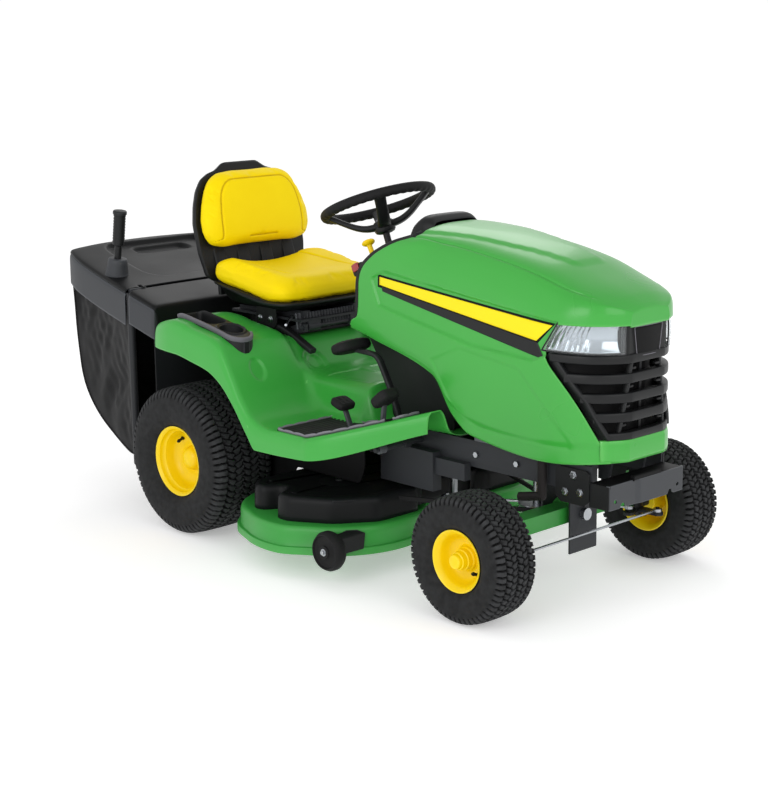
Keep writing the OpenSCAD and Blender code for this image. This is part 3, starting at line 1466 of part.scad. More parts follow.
module hopper_frame() {
    x = hopper_hinge_x;
    d = hopper_tube_d;
    y = hopper_front_hw - panel_t - seat_gap - d / 2;
    foot = bag_z - 26;
    color("#202123") {
        for (s = [-1, 1]) {
            post(x, s * y, foot, hopper_pivot_z - 6, d);
            rod_y(x, hopper_pivot_z, s > 0 ? ear_y - 12 : -y, s > 0 ? y : -ear_y + 12, pivot_d);
        }
        rod_y(x, foot, -y, y, d);
        for (s = [-1, 1]) translate([x, s * y, foot]) sphere(d = d);
        difference() {
            on_handle() translate([0, 0, -handle_travel - 50])
                cylinder(d = handle_d + 10, h = handle_travel + 50 - guide_top - seat_gap);
            on_handle() cylinder(d = handle_d + 2 * run_gap, h = 2 * handle_travel + 200, center = true);
        }
    }
}

front_x0 = hopper_hinge_x + 13;
front_x1 = rear_x - 160;

// Grid of the fixed front of the cover, which ends in a band across
function front_rows(d) =
    let (drop = function (x) (x - hopper_hinge_x) * 0.26)
    let (z = function (x) hopper_edge_z(cover_x1) - drop(x))
    let (x1 = front_x1 - d, w1 = hopper_front_hw - 12, z1 = z(front_x1), low = z1 - hopper_band + 10)
    concat([for (x = [front_x0, front_x1 - 60, front_x1 - 14])
        cover_row(x, hopper_front_hw, z(x) - hopper_band + 10, z(x), 4, 0, d)],
        [cover_row(x1, w1, low, z1 - 12, 2, -14, d)],
        [cover_row(x1, w1, low, low, 0, -14, d)]);

module hopper_support() {
    t = rail_t;
    color("#1d1e20") {
        difference() {
            box([panel_x - t / 2, -ear_y - 4, 306], [panel_x + t / 2, ear_y + 4, 700]);
            box([panel_x - t, -chute_hw + panel_t, chute_z0 + panel_t],
                [panel_x + t, chute_hw - panel_t, chute_z1 - panel_t]);
        }
        for (s = [-1, 1]) difference() {
            union() {
                profile([[panel_x - t / 2 - seat_gap, 600], [panel_x - t / 2 - seat_gap, 690],
                    [hopper_hinge_x + 10, hopper_pivot_z + 8], [hopper_hinge_x - 10, hopper_pivot_z - 8]],
                    s * ear_y - 4, s * ear_y + 4);
                rod_y(hopper_hinge_x, hopper_pivot_z, s * ear_y - 4, s * ear_y + 4, pivot_d + 10);
            }
            rod_y(hopper_hinge_x, hopper_pivot_z, s * ear_y - 6, s * ear_y + 6, pivot_d + 2 * run_gap);
        }
        difference() {
            sheet(front_rows(0), front_rows(panel_t));
            for (s = [-1, 1]) box([hopper_hinge_x, s * ear_y - 4.4, 590],
                [hopper_hinge_x + 30, s * ear_y + 4.4, hopper_hinge_z + 30]);
        }
    }
}

chute_z0 = 470;
chute_z1 = 630;

module discharge_chute() {
    t = panel_t;
    x0 = panel_x + rail_t / 2 + seat_gap;
    x1 = mid_x - deck_back - 5;
    kink = [x1 - 146, rail_z - 4];
    lip = [x1 - 92, rail_top + 50];
    color("#2a2b2d") difference() {
        profile([[x0, chute_z0], kink, [x1, deck_z + 15], [x1, deck_top - 2], lip, [x0, chute_z1]],
            -chute_hw, chute_hw);
        profile([[x0 - 5, chute_z0 + t], kink + [1, t], [x1 + 1, deck_z + 15 + 1.6 * t],
            [x1 + 1, deck_top - 2 - 0.5 * t], lip + [-t, -t], [x0 - 5, chute_z1 - t]],
            -chute_hw + t, chute_hw - t);
    }
}

frame_rails();
front_bumper();
fasteners();
engine_block();
muffler();
battery();
fuel_tank();
dash_console();
fender_deck();
foot_mats();
fender_trays();
transaxle();
hopper_support();
discharge_chute();
seat_bracket();
engine_pulley();
steering_wheel();
steering_shaft();
steering_sector();
drag_link();
tie_rod();
front_axle_beam();
knuckle_right();
knuckle_left();
front_tyre_right();
front_tyre_left();
front_rim_right();
front_rim_left();
rear_tyre_right();
rear_tyre_left();
rear_rim_right();
rear_rim_left();
deck_shell();
deck_cover();
deck_belt();
spindle_housings();
blade_right();
blade_left();
gauge_wheel_right();
gauge_wheel_left();
lift_shaft();
lift_pedal();
seat_slide();
seat_shell();
seat_cushion();
seat_backrest();
hood_shell();
grille();
headlights();
hopper_cover();
hopper_bag();
hopper_frame();
hopper_handle();
forward_pedal();
reverse_pedal();
brake_pedal();
pto_knob();
throttle_lever();
ignition_key();
fuel_cap();
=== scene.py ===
import math

import bmesh
import bpy
import numpy as np
from mathutils import Matrix


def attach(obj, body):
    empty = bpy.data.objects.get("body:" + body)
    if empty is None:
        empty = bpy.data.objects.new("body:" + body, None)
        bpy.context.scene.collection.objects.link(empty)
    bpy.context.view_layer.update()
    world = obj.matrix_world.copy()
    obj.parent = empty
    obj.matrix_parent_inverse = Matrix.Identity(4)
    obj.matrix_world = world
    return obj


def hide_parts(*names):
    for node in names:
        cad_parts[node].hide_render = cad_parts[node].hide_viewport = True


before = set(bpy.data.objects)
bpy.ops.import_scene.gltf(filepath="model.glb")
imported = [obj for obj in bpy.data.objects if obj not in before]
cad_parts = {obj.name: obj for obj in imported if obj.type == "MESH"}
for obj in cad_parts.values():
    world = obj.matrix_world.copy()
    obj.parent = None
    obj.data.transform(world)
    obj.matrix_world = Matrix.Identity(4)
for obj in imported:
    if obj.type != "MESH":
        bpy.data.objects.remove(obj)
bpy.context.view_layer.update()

# All shapes below are worked out in millimetres: +X forward, +Y left, +Z up, floor at 0.
MM = 0.001
SIDES = {"right": -1, "left": 1}
# Stations along the machine: rear axle, front axle, tip of the hood and middle of the mower deck.
REAR = -356.0
FRONT = 908.0
NOSE = 1189.0
MID = 189.0
# Half tracks and axle heights of the road wheels, and the place of a gauge wheel on the deck.
FRONT_TRACK, FRONT_AXLE = 416, 184
REAR_TRACK, REAR_AXLE = 386, 245
GAUGE_X, GAUGE_Y, GAUGE_Z = 421, 516, 116
# Each blade spindle's distance from the middle, and each cup's place ahead of the rear axle and to the side.
SPINDLE = 262
CUP_X, CUP_Y = 186, 389
# Middle of the steering wheel with its column's lean, and the dash's lower edge with its slope, in degrees.
WHEEL_AT, COLUMN_LEAN = (104, 0, 1078), 21
DASH_AT, DASH_SLOPE = (236, 0, 893), 28.48

scene = bpy.context.scene


# Camera, floor and light

def make_camera():
    """Camera solved from the wheel sizes and wheelbase: a place, and a turn given as heading, dip and
    roll."""
    heading, dip, roll = np.radians([136.556, -12.475, -0.762])
    ahead = np.array([math.cos(dip) * math.cos(heading), math.cos(dip) * math.sin(heading), math.sin(dip)])
    right = np.cross(ahead, [0, 0, 1])
    right /= np.linalg.norm(right)
    up = np.cross(right, ahead)
    c, s = math.cos(roll), math.sin(roll)
    right, up = c * right + s * up, c * up - s * right
    lens = bpy.data.cameras.new("camera")
    lens.sensor_width = 36
    lens.lens = 1710.3 / 800 * 36
    lens.shift_x = -2.83 / 800
    lens.shift_y = 0.71 / 800
    lens.clip_end = 60
    camera = bpy.data.objects.new("camera", lens)
    turn = Matrix(np.column_stack([right, up, -ahead]).tolist()).to_4x4()
    camera.matrix_world = Matrix.Translation((4.04895, -3.70981, 1.63623)) @ turn
    scene.collection.objects.link(camera)
    scene.camera = camera


def make_light(name, place, aim, size, watts, tint):
    """Square soft box at a place, turned to face a point."""
    lamp = bpy.data.lights.new(name, "AREA")
    lamp.size = size
    lamp.energy = watts
    lamp.color = tint
    box = bpy.data.objects.new(name, lamp)
    look = Matrix.Translation(place)
    away = np.array(place, float) - np.array(aim, float)
    away /= np.linalg.norm(away)
    side = np.cross([0, 0, 1], away)
    side /= np.linalg.norm(side)
    over = np.cross(away, side)
    box.matrix_world = look @ Matrix(np.column_stack([side, over, away]).tolist()).to_4x4()
    scene.collection.objects.link(box)


# Helpers: nodes, colours and curves

def linear(code):
    """sRGB hex to linear red, green, blue and alpha."""
    value = np.array([int(code[k:k + 2], 16) for k in (1, 3, 5)]) / 255
    value = np.where(value <= 0.04045, value / 12.92, ((value + 0.055) / 1.055) ** 2.4)
    return (*value.tolist(), 1.0)


def add(tree, kind, feeds=(), **settings):
    """One node with its settings; feeds maps a socket to a value or to a (node, output) pair."""
    made = tree.nodes.new("ShaderNode" + kind)
    for key, value in settings.items():
        setattr(made, key, value)
    for key, value in dict(feeds).items():
        if isinstance(value, tuple) and len(value) == 2 and hasattr(value[0], "outputs"):
            tree.links.new(value[0].outputs[value[1]], made.inputs[key])
        else:
            made.inputs[key].default_value = value
    return made


def along(x, *pairs):
    """Straight-line value at x between (x, value) pairs."""
    table = np.array(pairs, float)
    return np.interp(x, table[:, 0], table[:, 1])


def eased(x, *pairs):
    """Smooth curve through (x, value) pairs: cubic pieces whose slope at a pair is the harmonic mean of both
    sides."""
    table = np.array(pairs, float)
    a, b = table[:, 0], table[:, 1]
    s = np.diff(b) / np.diff(a)
    both = s[:-1] * s[1:]
    inner = np.where(both > 0, 2 * both / np.where(both > 0, s[:-1] + s[1:], 1), 0)
    m = np.concatenate([s[:1], inner, s[-1:]])
    x = np.clip(x, a[0], a[-1])
    k = np.clip(np.searchsorted(a, x, side="right") - 1, 0, len(s) - 1)
    h = a[k + 1] - a[k]
    u = (x - a[k]) / h
    return (b[k] * (1 + 2 * u) * (1 - u) ** 2 + h * m[k] * u * (1 - u) ** 2
            + b[k + 1] * u * u * (3 - 2 * u) + h * m[k + 1] * u * u * (u - 1))


def rise(x, a, b):
    """Smooth step from 0 at a to 1 at b."""
    u = np.clip((x - a) / (b - a), 0, 1)
    return u * u * (3 - 2 * u)


def bell(x, centre, width):
    """Bell of height 1 round a centre."""
    return np.exp(-((x - centre) / width) ** 2)


def waves(p, length, seed):
    """Smooth pseudo-random field: a sum of eight sine waves with fixed directions and phases, about -1 to
    1."""
    pick = np.random.default_rng(seed)
    turn = pick.normal(size=(8, p.shape[-1]))
    turn /= np.linalg.norm(turn, axis=1)[:, None]
    k = turn * (2 * np.pi / length) * pick.uniform(0.6, 1.5, 8)[:, None]
    return np.sin(p @ k.T + pick.uniform(0, 2 * np.pi, 8)).mean(-1) * 2


def inside(x, y, outline):
    """Distance from a polygon's outline, positive inside: least distance to its sides, sign by an even-odd
    count."""
    p = np.array(outline, float)
    near = np.full(np.shape(x), 1e9)
    odd = np.zeros(np.shape(x), bool)
    for (ax, ay), (bx, by) in zip(p, np.roll(p, -1, 0)):
        t = np.clip(((x - ax) * (bx - ax) + (y - ay) * (by - ay)) / ((bx - ax) ** 2
            + (by - ay) ** 2 + 1e-9), 0, 1)
        near = np.minimum(near, np.hypot(x - ax - t * (bx - ax), y - ay - t * (by - ay)))
        cross = (ay > y) != (by > y)
        odd ^= cross & (x < ax + (y - ay) * (bx - ax) / (by - ay + 1e-12))
    return np.where(odd, near, -near)


def spread(stops, counts):
    """Samples from stop to stop, so many in each interval."""
    parts = [np.linspace(a, b, n, endpoint=False) for a, b, n in zip(stops[:-1], stops[1:], counts)]
    return np.concatenate(parts + [[stops[-1]]])


def rounded(lines, v, reach, axis=1):
    """Points across guide lines: the straight run from line to line averaged over a window of +-reach, so
    facets stay flat and their edges turn round."""
    last = lines.shape[axis] - 1
    v = np.asarray(v, float)
    room = np.minimum(np.minimum(reach, v), last - v)
    total = 0
    for o in np.linspace(-1, 1, 9):
        t = np.clip(v + o * room, 0, last)
        k = np.minimum(t.astype(int), last - 1)
        f = (t - k).reshape([-1 if d == axis else 1 for d in range(lines.ndim)])
        total = total + np.take(lines, k, axis) * (1 - f) + np.take(lines, k + 1, axis) * f
    return total / 9


def softened(outline, spacing, reach):
    """Closed outline at even spacing, each point the mean of its neighbours within reach, which rounds the
    corners."""
    p = np.array(outline, float)
    p = np.vstack([p, p[:1]])
    run = np.concatenate([[0], np.cumsum(np.linalg.norm(np.diff(p, axis=0), axis=1))])
    count = int(run[-1] / spacing)
    t = np.arange(count) * run[-1] / count
    q = np.column_stack([np.interp(t, run, p[:, k]) for k in range(p.shape[1])])
    half = max(1, int(reach / spacing))
    for _ in range(2):
        q = np.mean([np.roll(q, o, 0) for o in range(-half, half + 1)], 0)
    return q


def drawn_in(ring, inset):
    """Closed plan outline moved inwards by inset along its normals."""
    step = np.roll(ring, -1, 0) - np.roll(ring, 1, 0)
    normal = np.column_stack([step[:, 1], -step[:, 0]])
    normal /= np.linalg.norm(normal, axis=1)[:, None]
    area = np.sum(ring[:, 0] * np.roll(ring[:, 1], -1) - np.roll(ring[:, 0], -1) * ring[:, 1])
    return ring - normal * inset * np.sign(area)


# Helpers: meshes

def grid(rows, columns, ring_rows=False, ring_columns=False):
    """Quads of a grid of points numbered row by row, closed on itself where asked."""
    r = np.arange(rows if ring_rows else rows - 1)[:, None]
    c = np.arange(columns if ring_columns else columns - 1)[None]
    r1, c1 = (r + 1) % rows, (c + 1) % columns
    return np.stack([r * columns + c, r * columns + c1, r1 * columns + c1,
        r1 * columns + c], -1).reshape(-1, 4)


def joined(*parts):
    """Several (points, faces) pairs as one."""
    points, faces, base = [], [], 0
    for p, f in parts:
        p = np.asarray(p, float).reshape(-1, 3)
        points.append(p)
        faces += [[int(i) + base for i in q] for q in f]
        base += len(p)
    return np.vstack(points), faces


def piece(name, shape, finish, body, nodes=(), wall=0.0, bevel=0.0, core=None, crease=38, weld=False,
        marks=None, smooth=0):
    """Puts points and faces into a mesh, turns its faces away from core, gives it finish, wall and body, and
    hides the CAD parts of the nodes it replaces."""
    points, faces = shape
    points = np.asarray(points, float).reshape(-1, 3)
    mesh = bpy.data.meshes.new(name)
    mesh.from_pydata((points * MM).tolist(), [], faces.tolist() if hasattr(faces, "tolist") else faces)
    for key, value in (marks or {}).items():
        mesh.attributes.new(key, "FLOAT", "POINT").data.foreach_set("value",
            np.asarray(value, np.float32).ravel())
    if weld:
        bm = bmesh.new()
        bm.from_mesh(mesh)
        bmesh.ops.remove_doubles(bm, verts=bm.verts, dist=2e-5)
        bmesh.ops.dissolve_degenerate(bm, edges=bm.edges, dist=1e-6)
        bmesh.ops.recalc_face_normals(bm, faces=bm.faces)
        bm.to_mesh(mesh)
        bm.free()
    count = len(mesh.polygons)
    centre, normal, area = np.zeros(3 * count), np.zeros(3 * count), np.zeros(count)
    mesh.polygons.foreach_get("center", centre)
    mesh.polygons.foreach_get("normal", normal)
    mesh.polygons.foreach_get("area", area)
    core = points.mean(0) if core is None else np.array(core, float)
    if np.sum(area * np.sum(normal.reshape(-1, 3) * (centre.reshape(-1, 3) - core * MM), 1)) < 0:
        mesh.flip_normals()
    mesh.polygons.foreach_set("use_smooth", np.ones(count, bool))
    mesh.set_sharp_from_angle(angle=math.radians(crease))
    obj = bpy.data.objects.new(name, mesh)
    scene.collection.objects.link(obj)
    material, slot = FINISH[finish]
    mesh.materials.append(material)
    if wall:
        shell = obj.modifiers.new("wall", "SOLIDIFY")
        shell.thickness = wall * MM
        shell.offset = -1
    if bevel:
        edge = obj.modifiers.new("edge", "BEVEL")
        edge.width = bevel * MM
        edge.segments = 3
        edge.limit_method = "ANGLE"
        edge.angle_limit = math.radians(35)
        edge.harden_normals = True
    if smooth:
        sub = obj.modifiers.new("smooth", "SUBSURF")
        sub.levels = sub.render_levels = smooth
    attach(obj, body)
    if nodes:
        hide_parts(*([nodes] if isinstance(nodes, str) else nodes))
    return obj


def turned(profile, origin, axis, count=64):
    """Surface of revolution: (distance from the axis, place along it) pairs carried round the axis."""
    profile = np.array(profile, float)
    axis = np.array(axis, float) / np.linalg.norm(axis)
    side = np.cross(axis, [0, 0, 1] if abs(axis[2]) < 0.9 else [1, 0, 0])
    side /= np.linalg.norm(side)
    over = np.cross(axis, side)
    a = np.linspace(0, 2 * np.pi, count, endpoint=False)[:, None, None]
    p = np.array(origin) + profile[:, :1] * (np.cos(a) * side + np.sin(a) * over) + profile[:, 1:] * axis
    return p, grid(count, len(profile), ring_rows=True)


def oval(w, h, power=2.0, count=20):
    """Closed curve on which |x/w| and |y/h|, each to the power, add up to 1."""
    a = np.linspace(0, 2 * np.pi, count, endpoint=False)
    c, s = np.cos(a), np.sin(a)
    return np.column_stack([w * np.sign(c) * np.abs(c) ** (2 / power),
        h * np.sign(s) * np.abs(s) ** (2 / power)])


def swept(path, section, over=(0, 0, 1), ring=False, caps=True):
    """A section carried along a path, square to it, with its second axis kept towards `over`."""
    path = np.asarray(path, float)
    go = (np.roll(path, -1, 0) - np.roll(path, 1, 0)) if ring else np.gradient(path, axis=0)
    go /= np.linalg.norm(go, axis=1)[:, None]
    side = np.cross(go, np.broadcast_to(np.array(over, float), go.shape))
    side /= np.linalg.norm(side, axis=1)[:, None]
    top = np.cross(side, go)
    section = np.broadcast_to(section, (len(path),) + np.shape(section)[-2:])
    p = path[:, None] + section[..., :1] * side[:, None] + section[..., 1:] * top[:, None]
    n, m = p.shape[:2]
    faces = grid(n, m, ring_rows=ring, ring_columns=True).tolist()
    if caps and not ring:
        faces += [list(range(m)), list(range((n - 1) * m, n * m))]
    return p.reshape(-1, 3), faces


def bent(*points, count=40, reach=0.22):
    """Path through corner points with rounded turns."""
    p = np.array(points, float)
    return rounded(p, np.linspace(0, len(p) - 1, count), reach, axis=0)


def block(size, power=6.0, rows=14, columns=40):
    """Block with soft edges: every plan and side section is a squared oval of the given power."""
    u = np.linspace(-np.pi / 2, np.pi / 2, rows)[:, None]
    v = np.linspace(0, 2 * np.pi, columns, endpoint=False)[None]
    e = 2 / power
    def bend(t):
        """A sine or cosine raised to the power of the block's roundness, with its sign kept."""
        return np.sign(t) * np.abs(t) ** e
    p = np.stack([bend(np.cos(u)) * bend(np.cos(v)) * size[0] / 2,
        bend(np.cos(u)) * bend(np.sin(v)) * size[1] / 2, bend(np.sin(u)) * np.ones_like(v) * size[2] / 2], -1)
    return p.reshape(-1, 3), grid(rows, columns, ring_columns=True)


def placed(shape, origin, about_y=0.0, about_z=0.0):
    """A shape turned about Y, then about Z, in degrees, and moved to an origin."""
    p, faces = shape
    b, c = math.radians(about_y), math.radians(about_z)
    ry = np.array([[math.cos(b), 0, math.sin(b)], [0, 1, 0], [-math.sin(b), 0, math.cos(b)]])
    rz = np.array([[math.cos(c), -math.sin(c), 0], [math.sin(c), math.cos(c), 0], [0, 0, 1]])
    return np.asarray(p, float).reshape(-1, 3) @ ry.T @ rz.T + np.array(origin, float), faces


def stacked(ring, levels, cap=True, foot=False):
    """Plan outline carried up through (inset, height) levels, with a flat lid and floor where asked."""
    p = np.array([np.column_stack([drawn_in(ring, i), np.full(len(ring), z)]) for i, z in levels])
    n, m = p.shape[:2]
    faces = grid(n, m, ring_columns=True).tolist()
    if cap:
        faces.append(list(range((n - 1) * m, n * m)))
    if foot:
        faces.append(list(range(m)))
    return p.reshape(-1, 3), faces


def upright(outline, y0, y1):
    """Side outline in X and Z, drawn across from y0 to y1."""
    o = np.array(outline, float)
    m = len(o)
    p = np.vstack([np.column_stack([o[:, 0], np.full(m, y), o[:, 1]]) for y in (y0, y1)])
    return p, grid(2, m, ring_columns=True).tolist() + [list(range(m)), list(range(m, 2 * m))]


# Finishes

FINISH = {}


def finish(key, slot, name, base, tone, rough, patch, grain, depth, metal=0.0, coat=0.0, edge=None,
        sheen=0.0, spec=0.5):
    """A coloured surface: base drifts to tone over patches so many mm wide, a grain so many mm wide stands
    depth mm high, roughness follows the patches, and convex edges take the edge colour as a painted
    highlight."""
    material = bpy.data.materials.new(name)
    material.use_nodes = True
    tree = material.node_tree
    shader = tree.nodes["Principled BSDF"]
    place = add(tree, "TexCoord")
    drift = add(tree, "TexNoise", {"Vector": (place, "Object"), "Scale": 1000 / patch, "Detail": 3.0})
    colour = add(tree, "Mix", {0: (drift, "Fac"), 6: linear(base), 7: linear(tone)}, data_type="RGBA")
    if edge:
        # Painted highlight: convex edges, picked out by pointiness, are lightened towards the edge colour
        pointiness_for_highlight = add(tree, "NewGeometry")
        mask = add(tree, "MapRange", {0: (pointiness_for_highlight, "Pointiness"), 1: 0.52, 2: 0.62, 3: 0.0, 4: 0.8})
        colour = add(tree, "Mix", {0: (mask, 0), 6: (colour, 2), 7: linear(edge)}, data_type="RGBA")
    tree.links.new(colour.outputs[2], shader.inputs["Base Color"])
    gloss = add(tree, "MapRange", {0: (drift, "Fac"), 1: 0.25, 2: 0.75, 3: max(0.02, rough - 0.05),
        4: rough + 0.06})
    tree.links.new(gloss.outputs[0], shader.inputs["Roughness"])
    texture = add(tree, "TexNoise", {"Vector": (place, "Object"), "Scale": 1000 / grain, "Detail": 2.0})
    relief = add(tree, "Bump", {"Height": (texture, "Fac"), "Distance": depth * MM, "Strength": 0.6})
    tree.links.new(relief.outputs[0], shader.inputs["Normal"])
    constant = {"Metallic": metal, "Specular IOR Level": spec, "Coat Weight": coat, "Coat Roughness": 0.08,
        "Sheen Weight": sheen}
    for socket, value in constant.items():
        shader.inputs[socket].default_value = value
    FINISH[key] = (material, slot)
    return tree, shader, place, relief


def make_finishes():
    """Every finish on the machine, each named for its material and the way it was made."""
    # The edge colour of each finish below is a painted highlight on its convex edges
    # Injection moulded ABS, painted gloss green: soft, clear reflections with a faint orange peel 6 mm wide
    finish("hood", "green_plastic", "gloss_green_moulded_abs", "#359c36", "#3da53e", 0.3, 420, 6, 0.03,
        coat=0.15, edge="#5fbb58", spec=0.4)
    # Stamped steel, powder coated green: a little duller, with a 5 mm orange peel
    finish("fender", "green_plastic", "green_coated_steel_pressing", "#319a35", "#3aa33e", 0.36, 380, 5, 0.05,
        coat=0.1, edge="#5ab855", spec=0.4)
    # Sprayed enamel on deck steel: flatter still, and a shade darker where it is thin
    finish("deck", "green_paint", "green_enamel_deck_steel", "#2c8c34", "#35963c", 0.42, 260, 5, 0.06,
        coat=0.05, edge="#52aa52", spec=0.4)
    # Baked yellow enamel on pressed wheel discs: bright and even, with thin spots a shade darker
    finish("yellow", "yellow_paint", "yellow_enamel_wheel_steel", "#f4d400", "#ebc800", 0.36, 150, 5, 0.04,
        coat=0.1, edge="#f7dc3a", spec=0.3)
    # Printed vinyl film: flat, clean yellow with hardly any grain
    finish("decal", "yellow_plastic", "yellow_vinyl_film", "#f8e000", "#f3d900", 0.36, 200, 4, 0.01, spec=0.3)
    # Moulded nylon knob: satin yellow with a fine grain
    finish("knob", "yellow_plastic", "yellow_moulded_nylon", "#f2d000", "#e9c200", 0.4, 40,
        1.5, 0.02, spec=0.3)
    # Moulded polypropylene, fine spark-eroded texture: satin black that greys where light grazes it
    finish("black", "black_plastic", "black_textured_polypropylene", "#101112", "#17181a", 0.46, 180, 1.6,
        0.05, edge="#2c2e31", spec=0.28)
    # Blow moulded polyethylene: the collector's waxy black
    finish("cover", "black_plastic", "black_blow_moulded_polyethylene", "#0c0d0e", "#131415", 0.44, 260, 2.2,
        0.06, edge="#26282b", spec=0.16)
    # The same polyethylene as a lit copy in a greyer satin: painted light for the upright faces that catch
    # the side light
    finish("sidelit_black", "black_plastic", "black_polyethylene_painted_sidelit", "#2e3033", "#3a3c40", 0.52, 210, 2.2,
        0.08, edge="#55585d", spec=0.3)
    # Moulded ABS of the grille: smooth satin black
    finish("grille", "black_plastic", "satin_black_moulded_abs", "#0f1011", "#161718", 0.38, 120, 1.4, 0.03,
        edge="#2c2e31", spec=0.3)
    # Grey nylon trim and caps
    finish("grey", "black_plastic", "grey_moulded_nylon", "#56545a", "#64626a", 0.5, 90, 1.6, 0.04,
        edge="#8a8890", spec=0.3)
    # Matt film, and painted shade: the same matt black stands in for the unlit inside of the nose and for the
    # shaded gap under the footboards
    finish("film", "black_plastic", "matt_black_film_and_painted_shade", "#0a0a0b", "#0e0e0f", 0.55, 200, 4,
        0.01, spec=0.15)
    # Natural polyethylene of the tank: milky off-white, a little waxy
    finish("white", "white_plastic", "natural_polyethylene", "#d8d8d2", "#c9c8c0", 0.4, 120, 3, 0.05)
    # Black powder coat on plate: low sheen and a 3 mm orange peel
    finish("coat", "black_steel", "black_powder_coated_plate", "#101112", "#191a1b", 0.5, 160, 3, 0.08,
        edge="#34363a", spec=0.28)
    # Grey powder coat on the bumper's plate: the same low sheen, lighter, so that its bends show
    finish("bumper", "black_steel", "dark_grey_powder_coated_plate", "#37393c", "#404246", 0.5, 160, 3, 0.08,
        edge="#5c5f63", spec=0.3)
    # Heat proof paint on the silencer: dull black that browns in patches
    finish("heat", "black_steel", "heat_proof_black_paint", "#161515", "#231f1e", 0.66, 70, 2, 0.08, spec=0.2)
    # Zinc plate: bright grey metal with a soft crystalline drift
    finish("zinc", "bare_steel", "zinc_plated_steel", "#b9bcc0", "#9fa3a8", 0.28, 12, 1.2, 0.02, metal=1.0)
    # Ground steel: grey metal with a tight, soft highlight
    finish("steel", "bare_steel", "ground_steel", "#8d9094", "#a5a8ac", 0.3, 20, 1.0, 0.02, metal=1.0)
    # Die cast alloy: dull grey metal with a sandy grain
    finish("alloy", "cast_alloy", "die_cast_alloy", "#5d6063", "#737679", 0.5, 30, 2.2, 0.12, metal=0.9)
    # Moulded rubber: matt black with a broad, faint sheen
    finish("rubber", "rubber", "moulded_black_rubber", "#111112", "#181819", 0.66, 60, 1.8, 0.08, spec=0.22)
    # Aluminised reflector: a bright mirror that picks up the room
    finish("mirror", "lamp", "aluminised_reflector", "#d4d8dc", "#c4c9cf", 0.12, 60, 8, 0.02, metal=1.0)
    # Red acrylic: deep red with a wet shine
    finish("red", "lamp", "red_acrylic_reflector", "#a01016", "#8a0c10", 0.14, 20, 2.5, 0.12, coat=0.6)

    # Polycarbonate lens: clear, with a thin hard coat
    lens = bpy.data.materials.new("clear_polycarbonate_lens")
    lens.use_nodes = True
    shader = lens.node_tree.nodes["Principled BSDF"]
    constant = {"Base Color": linear("#f2f6f8"), "Transmission Weight": 0.93, "Roughness": 0.03, "IOR": 1.2}
    for socket, value in constant.items():
        shader.inputs[socket].default_value = value
    place = add(lens.node_tree, "TexCoord")
    flow = add(lens.node_tree, "TexNoise", {"Vector": (place, "Object"), "Scale": 1000 / 25})
    ripple = add(lens.node_tree, "Bump", {"Height": (flow, "Fac"), "Distance": 0.00004, "Strength": 0.4})
    lens.node_tree.links.new(ripple.outputs[0], shader.inputs["Normal"])
    FINISH["lens"] = (lens, "lamp")

    # Vulcanised tyre rubber: grey in patches on the raised tread, near black in the grooves
    tree, shader, place, relief = finish("tyre", "tyre", "vulcanised_tyre_rubber", "#141415", "#1d1d1e", 0.72,
        45, 2.4, 0.12, spec=0.2)
    high = add(tree, "Attribute", attribute_name="relief")
    tread_patches = add(tree, "TexNoise", {"Vector": (place, "Object"), "Scale": 1000 / 18, "Detail": 4.0})
    mask = add(tree, "Math", {0: (high, "Fac"), 1: (tread_patches, "Fac")}, operation="MULTIPLY")
    top = add(tree, "Mix", {0: (mask, 0), 6: linear("#060606"), 7: linear("#424345")}, data_type="RGBA")
    tree.links.new(top.outputs[2], shader.inputs["Base Color"])

    # Embossed vinyl over foam: leather grain about 2 mm wide, drawn at 3 mm so that it shows
    tree, shader, place, relief = finish("vinyl", "yellow_vinyl", "embossed_yellow_vinyl", "#fade00",
        "#f4d400", 0.55, 130, 3, 0.1, spec=0.12)
    cells = add(tree, "TexVoronoi", {"Vector": (place, "Object"), "Scale": 1000 / 3.0},
        feature="DISTANCE_TO_EDGE")
    pores = add(tree, "Bump", {"Height": (cells, "Distance"), "Distance": 0.0004, "Strength": 0.35,
        "Normal": (relief, 0)})
    tree.links.new(pores.outputs[0], shader.inputs["Normal"])
    sewn = add(tree, "Attribute", attribute_name="seam")
    base = shader.inputs["Base Color"].links[0].from_socket
    shade = add(tree, "Mix", {0: (sewn, "Fac"), 7: linear("#c09a00")}, data_type="RGBA")
    tree.links.new(base, shade.inputs[6])
    tree.links.new(shade.outputs[2], shader.inputs["Base Color"])

    # Coated polyester bag cloth: plain weave, threads 0.9 mm apart drawn at 4 mm so that they show
    tree, shader, place, relief = finish("cloth", "bag_cloth", "woven_black_polyester", "#0d0d0e", "#171718",
        0.62, 140, 6, 0.15, sheen=0.05, spec=0.2)
    warp = add(tree, "TexWave", {"Vector": (place, "Object"), "Scale": 1000 / 4 / 6.28, "Distortion": 0.6},
        bands_direction="X")
    weft = add(tree, "TexWave", {"Vector": (place, "Object"), "Scale": 1000 / 4 / 6.28, "Distortion": 0.6},
        bands_direction="Z")
    weave = add(tree, "Math", {0: (warp, "Fac"), 1: (weft, "Fac")}, operation="MAXIMUM")
    cross = add(tree, "Bump", {"Height": (weave, 0), "Distance": 0.0004, "Strength": 0.4,
        "Normal": (relief, 0)})
    tree.links.new(cross.outputs[0], shader.inputs["Normal"])


# Wheels

